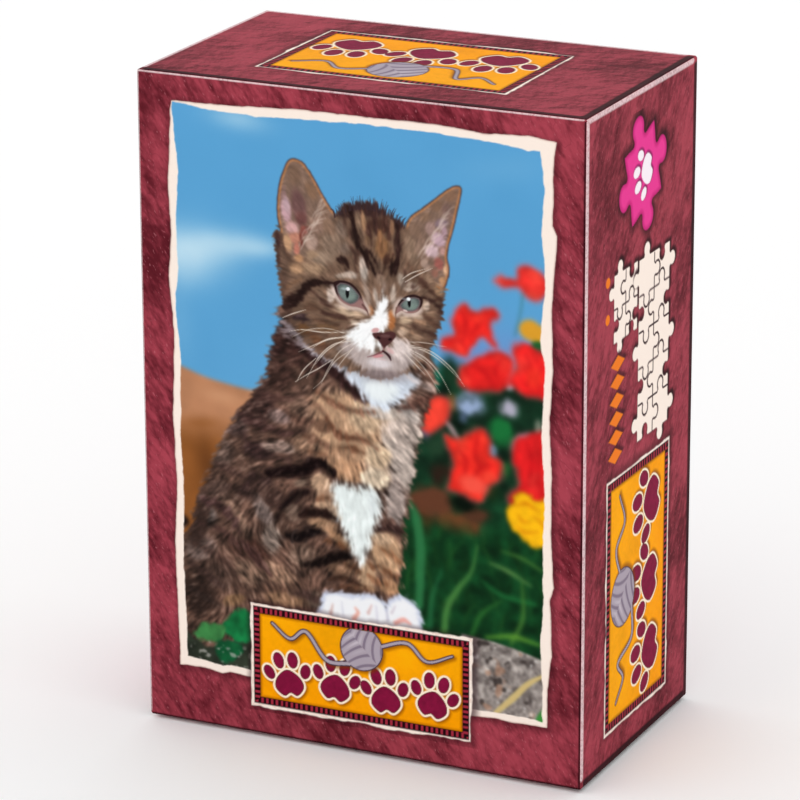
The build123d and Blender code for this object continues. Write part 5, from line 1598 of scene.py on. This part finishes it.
def bag_film():
    """Clear crinkled film: see-through seen straight on, and shiny at a slant and along its creases."""
    f = Finish("bag_film")
    creases = f.noise(4.0, 3.0, roughness=0.55)
    fine = f.noise(1.1, 2.0)
    f.set(base_color=(0.9, 0.93, 0.95), roughness=0.09, specular_ior_level=0.6)
    f.bump(creases * 0.7 + fine * 0.05, 0.6, 1.0)
    clear = f.add("ShaderNodeBsdfTransparent", {}, {"Color": (0.985, 0.985, 0.985, 1.0)})
    bumped = Term(f, f.surface.inputs["Normal"].links[0].from_socket)
    slant = f.add("ShaderNodeLayerWeight", {}, {"Blend": 0.28, "Normal": bumped}, "Fresnel")
    share = slant * 0.6 + 0.02
    both = f.add("ShaderNodeMixShader", {}, {0: share, 1: clear, 2: Term(f, f.surface.outputs[0])})
    f.tree.links.new(both.socket, f.tree.nodes["Material Output"].inputs["Surface"])
    return f.material


puzzle_print, puzzle_board = puzzle_faces()
board = greyboard()
for node in ("lid_board", "base_board"):
    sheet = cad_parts[node]
    sheet.data.materials.clear()
    sheet.data.materials.append(board)

# The heap: five or six pieces lie side by side in each layer, each layer leaning a little more than the last
six = [(x, z) for x in (-14.6, 14.6) for z in (-28.8, 0.0, 28.8)]
five = [(-2.0, 29.2), (-15.0, 4.7), (15.0, 5.1), (-14.8, -23.9), (14.6, -23.5)]
five_turned = [(-x, -z) for x, z in five]
layer_back = tray_high[1] - WALL - 0.2 - 0.15
number = 0
heap = []
picture_light = linear(np.clip(picture.colour, 0, 1))
for level, spots in enumerate([six, five, five_turned] * 3 + [six]):
    tilt = 0.3 + 0.35 * level
    half = HALF_THICK + PIECE_REACH * sin(radians(tilt)) + 0.02
    for x, z in spots:
        lean = radians(GOLDEN_ANGLE * number)
        over = radians(180 if number % 3 == 1 else 0)
        tip_x, tip_y = (radians(tilt * part) for part in (cos(lean), sin(lean)))
        turn = rotation("X", over + tip_x) @ rotation("Y", tip_y) @ rotation("Z", lean)
        row, column = divmod(number * 23 % (PIECES_ACROSS * PIECES_UP), PIECES_ACROSS)
        heap.append(jigsaw_piece(column, row, turn, (x, layer_back - half, MIDDLE + z), picture_light))
        number += 1
    layer_back -= 2 * half


def film_bag():
    """A pillow of film that lies over the heap. Its front is the heap's height, spread and smoothed, with
    creases."""
    heap_points = np.vstack(heap)
    cell = 0.75
    low = np.array([bag_low[0], bag_low[2]])
    half = np.array([bag_high[0] - bag_low[0], bag_high[2] - bag_low[2]]) / 2
    across, up = (int(v) for v in np.ceil(half * 2 / cell) + 1)
    height = np.full((up, across), -2.0)
    i = ((heap_points[:, 0] - low[0]) / cell).round().astype(int)
    j = ((heap_points[:, 2] - low[1]) / cell).round().astype(int)
    np.maximum.at(height, (j, i), -heap_points[:, 1])

    def neighbours(values, reach):
        wide = np.pad(values, reach, mode="edge")
        offsets = [(a, b) for a in range(2 * reach + 1) for b in range(2 * reach + 1)
                   if (a - reach) ** 2 + (b - reach) ** 2 <= reach ** 2 + 1]
        return np.array([wide[a:a + up, b:b + across] for a, b in offsets])

    height = neighbours(height, 5).max(0)
    height = neighbours(neighbours(height, 5).mean(0), 4).mean(0)

    corner, lip = 8.0, 1.0
    back, front = bag_high[1], -height.min()
    rounded = lip * (1 - np.sin(np.linspace(0, pi / 2, 5)))
    insets = np.concatenate([np.arange(half[0] - 0.5, lip, -0.8), rounded])
    rings = [(inset, 0) for inset in insets]
    rings += [(0.0, share) for share in (0.25, 0.5, 0.75)]
    rings += [(inset, 1) for inset in insets[::-1]]
    stops = [np.linspace(0, 1, 30), np.linspace(0, 1, 56)]
    random = np.random.default_rng(7)
    waves = [(random.uniform(0, pi), random.uniform(0.35, 1.3), random.uniform(0, 2 * pi)) for _ in range(14)]
    points = []
    for inset, share in rings:
        ring = rounded_ring(inset, max(corner - inset, 0.0), stops[0], stops[1], half)
        x, z = ring[:, 0], ring[:, 1] + (bag_low[2] + bag_high[2]) / 2
        a, b = (x - low[0]) / cell, (z - low[1]) / cell
        a0, b0 = np.clip(a.astype(int), 0, across - 2), np.clip(b.astype(int), 0, up - 2)
        top = sampled(height, b0, a0, b0 + 1, a0 + 1, a - a0, b - b0)
        ripple = 0.6 * np.sin(0.3 * (x - z))
        crease = sum(np.abs(np.sin(f * (x * cos(w) + z * sin(w)) + shift + ripple)) for w, f, shift in waves)
        crease = crease / len(waves) - 0.5
        top = np.minimum(top + 0.35 + crease * 0.5, -bag_low[1])
        bend = lip * (1 - np.sqrt(np.clip(1 - (1 - min(inset, lip) / lip) ** 2, 0, 1)))
        face = -top + bend if share == 1 else back - bend
        wall = (back - lip) + (-top + lip - back + lip) * share
        y = face if share in (0, 1) else wall
        points.append(np.stack([x, np.broadcast_to(y, x.shape), z], -1))
    around = len(points[0])
    points = np.vstack(points)
    faces = grid_faces(len(rings), around, around=True)
    first, last = list(range(around)), list(range(len(points) - around, len(points)))
    make_piece("film_bag", points, faces + [first[::-1], last], [bag_film()], "bag", ["piece_bag"],
               smooth=True)


film_bag()


# ---- Room, light and camera

def area_light(name, place, target, size, power):
    """A square light, size metres across, at place and facing target."""
    light = bpy.data.lights.new(name, "AREA")
    light.shape = "SQUARE"
    light.size = size
    light.energy = power
    lamp = bpy.data.objects.new(name, light)
    bpy.context.scene.collection.objects.link(lamp)
    lamp.location = place
    lamp.rotation_euler = (Vector(target) - Vector(place)).to_track_quat("-Z", "Y").to_euler()


floor_finish = Finish("floor").set(base_color=(1.0, 1.0, 1.0), roughness=0.9, specular_ior_level=0.0)
floor_mesh = bpy.data.meshes.new("floor")
reach, drop = 6.0, -0.0005
corners = [(-reach, -reach, drop), (reach, -reach, drop), (reach, reach, drop), (-reach, reach, drop)]
floor_mesh.from_pydata(corners, [], [(0, 1, 2, 3)])
floor_mesh.materials.append(floor_finish.material)
floor = bpy.data.objects.new("floor", floor_mesh)
bpy.context.scene.collection.objects.link(floor)

world = bpy.data.worlds.new("world")
bpy.context.scene.world = world
world.use_nodes = True
background = world.node_tree.nodes["Background"]
background.inputs["Color"].default_value = (1.0, 1.0, 1.0, 1.0)
background.inputs["Strength"].default_value = 1.0
area_light("key", (-0.35, -0.75, 0.75), (0, 0, 0.05), 0.6, 0.2)

# The camera looks down at the box from its front right. Its distance and shifts are in heights of the box
azimuth, elevation, roll = radians(25.352), radians(18.078), radians(-0.195)
back = Vector((sin(azimuth) * cos(elevation), -cos(azimuth) * cos(elevation), sin(elevation)))
right = Vector((cos(azimuth), sin(azimuth), 0.0))
up = back.cross(right)
tall = HEIGHT * MM
away, aside, below = 6.5798, 0.02829, 0.01374
centre = Vector((0, 0, tall / 2)) + back * away * tall - right * aside * tall - up * below * tall
camera = bpy.data.cameras.new("camera")
camera.lens = 199.8
camera.clip_start = 0.01
view = bpy.data.objects.new("camera", camera)
bpy.context.scene.collection.objects.link(view)
axes = Matrix((right, up, back)).transposed() @ Matrix.Rotation(roll, 3, "Z")
view.matrix_world = Matrix.Translation(centre) @ axes.to_4x4()
bpy.context.scene.camera = view
bpy.context.scene.view_settings.view_transform = "Standard"
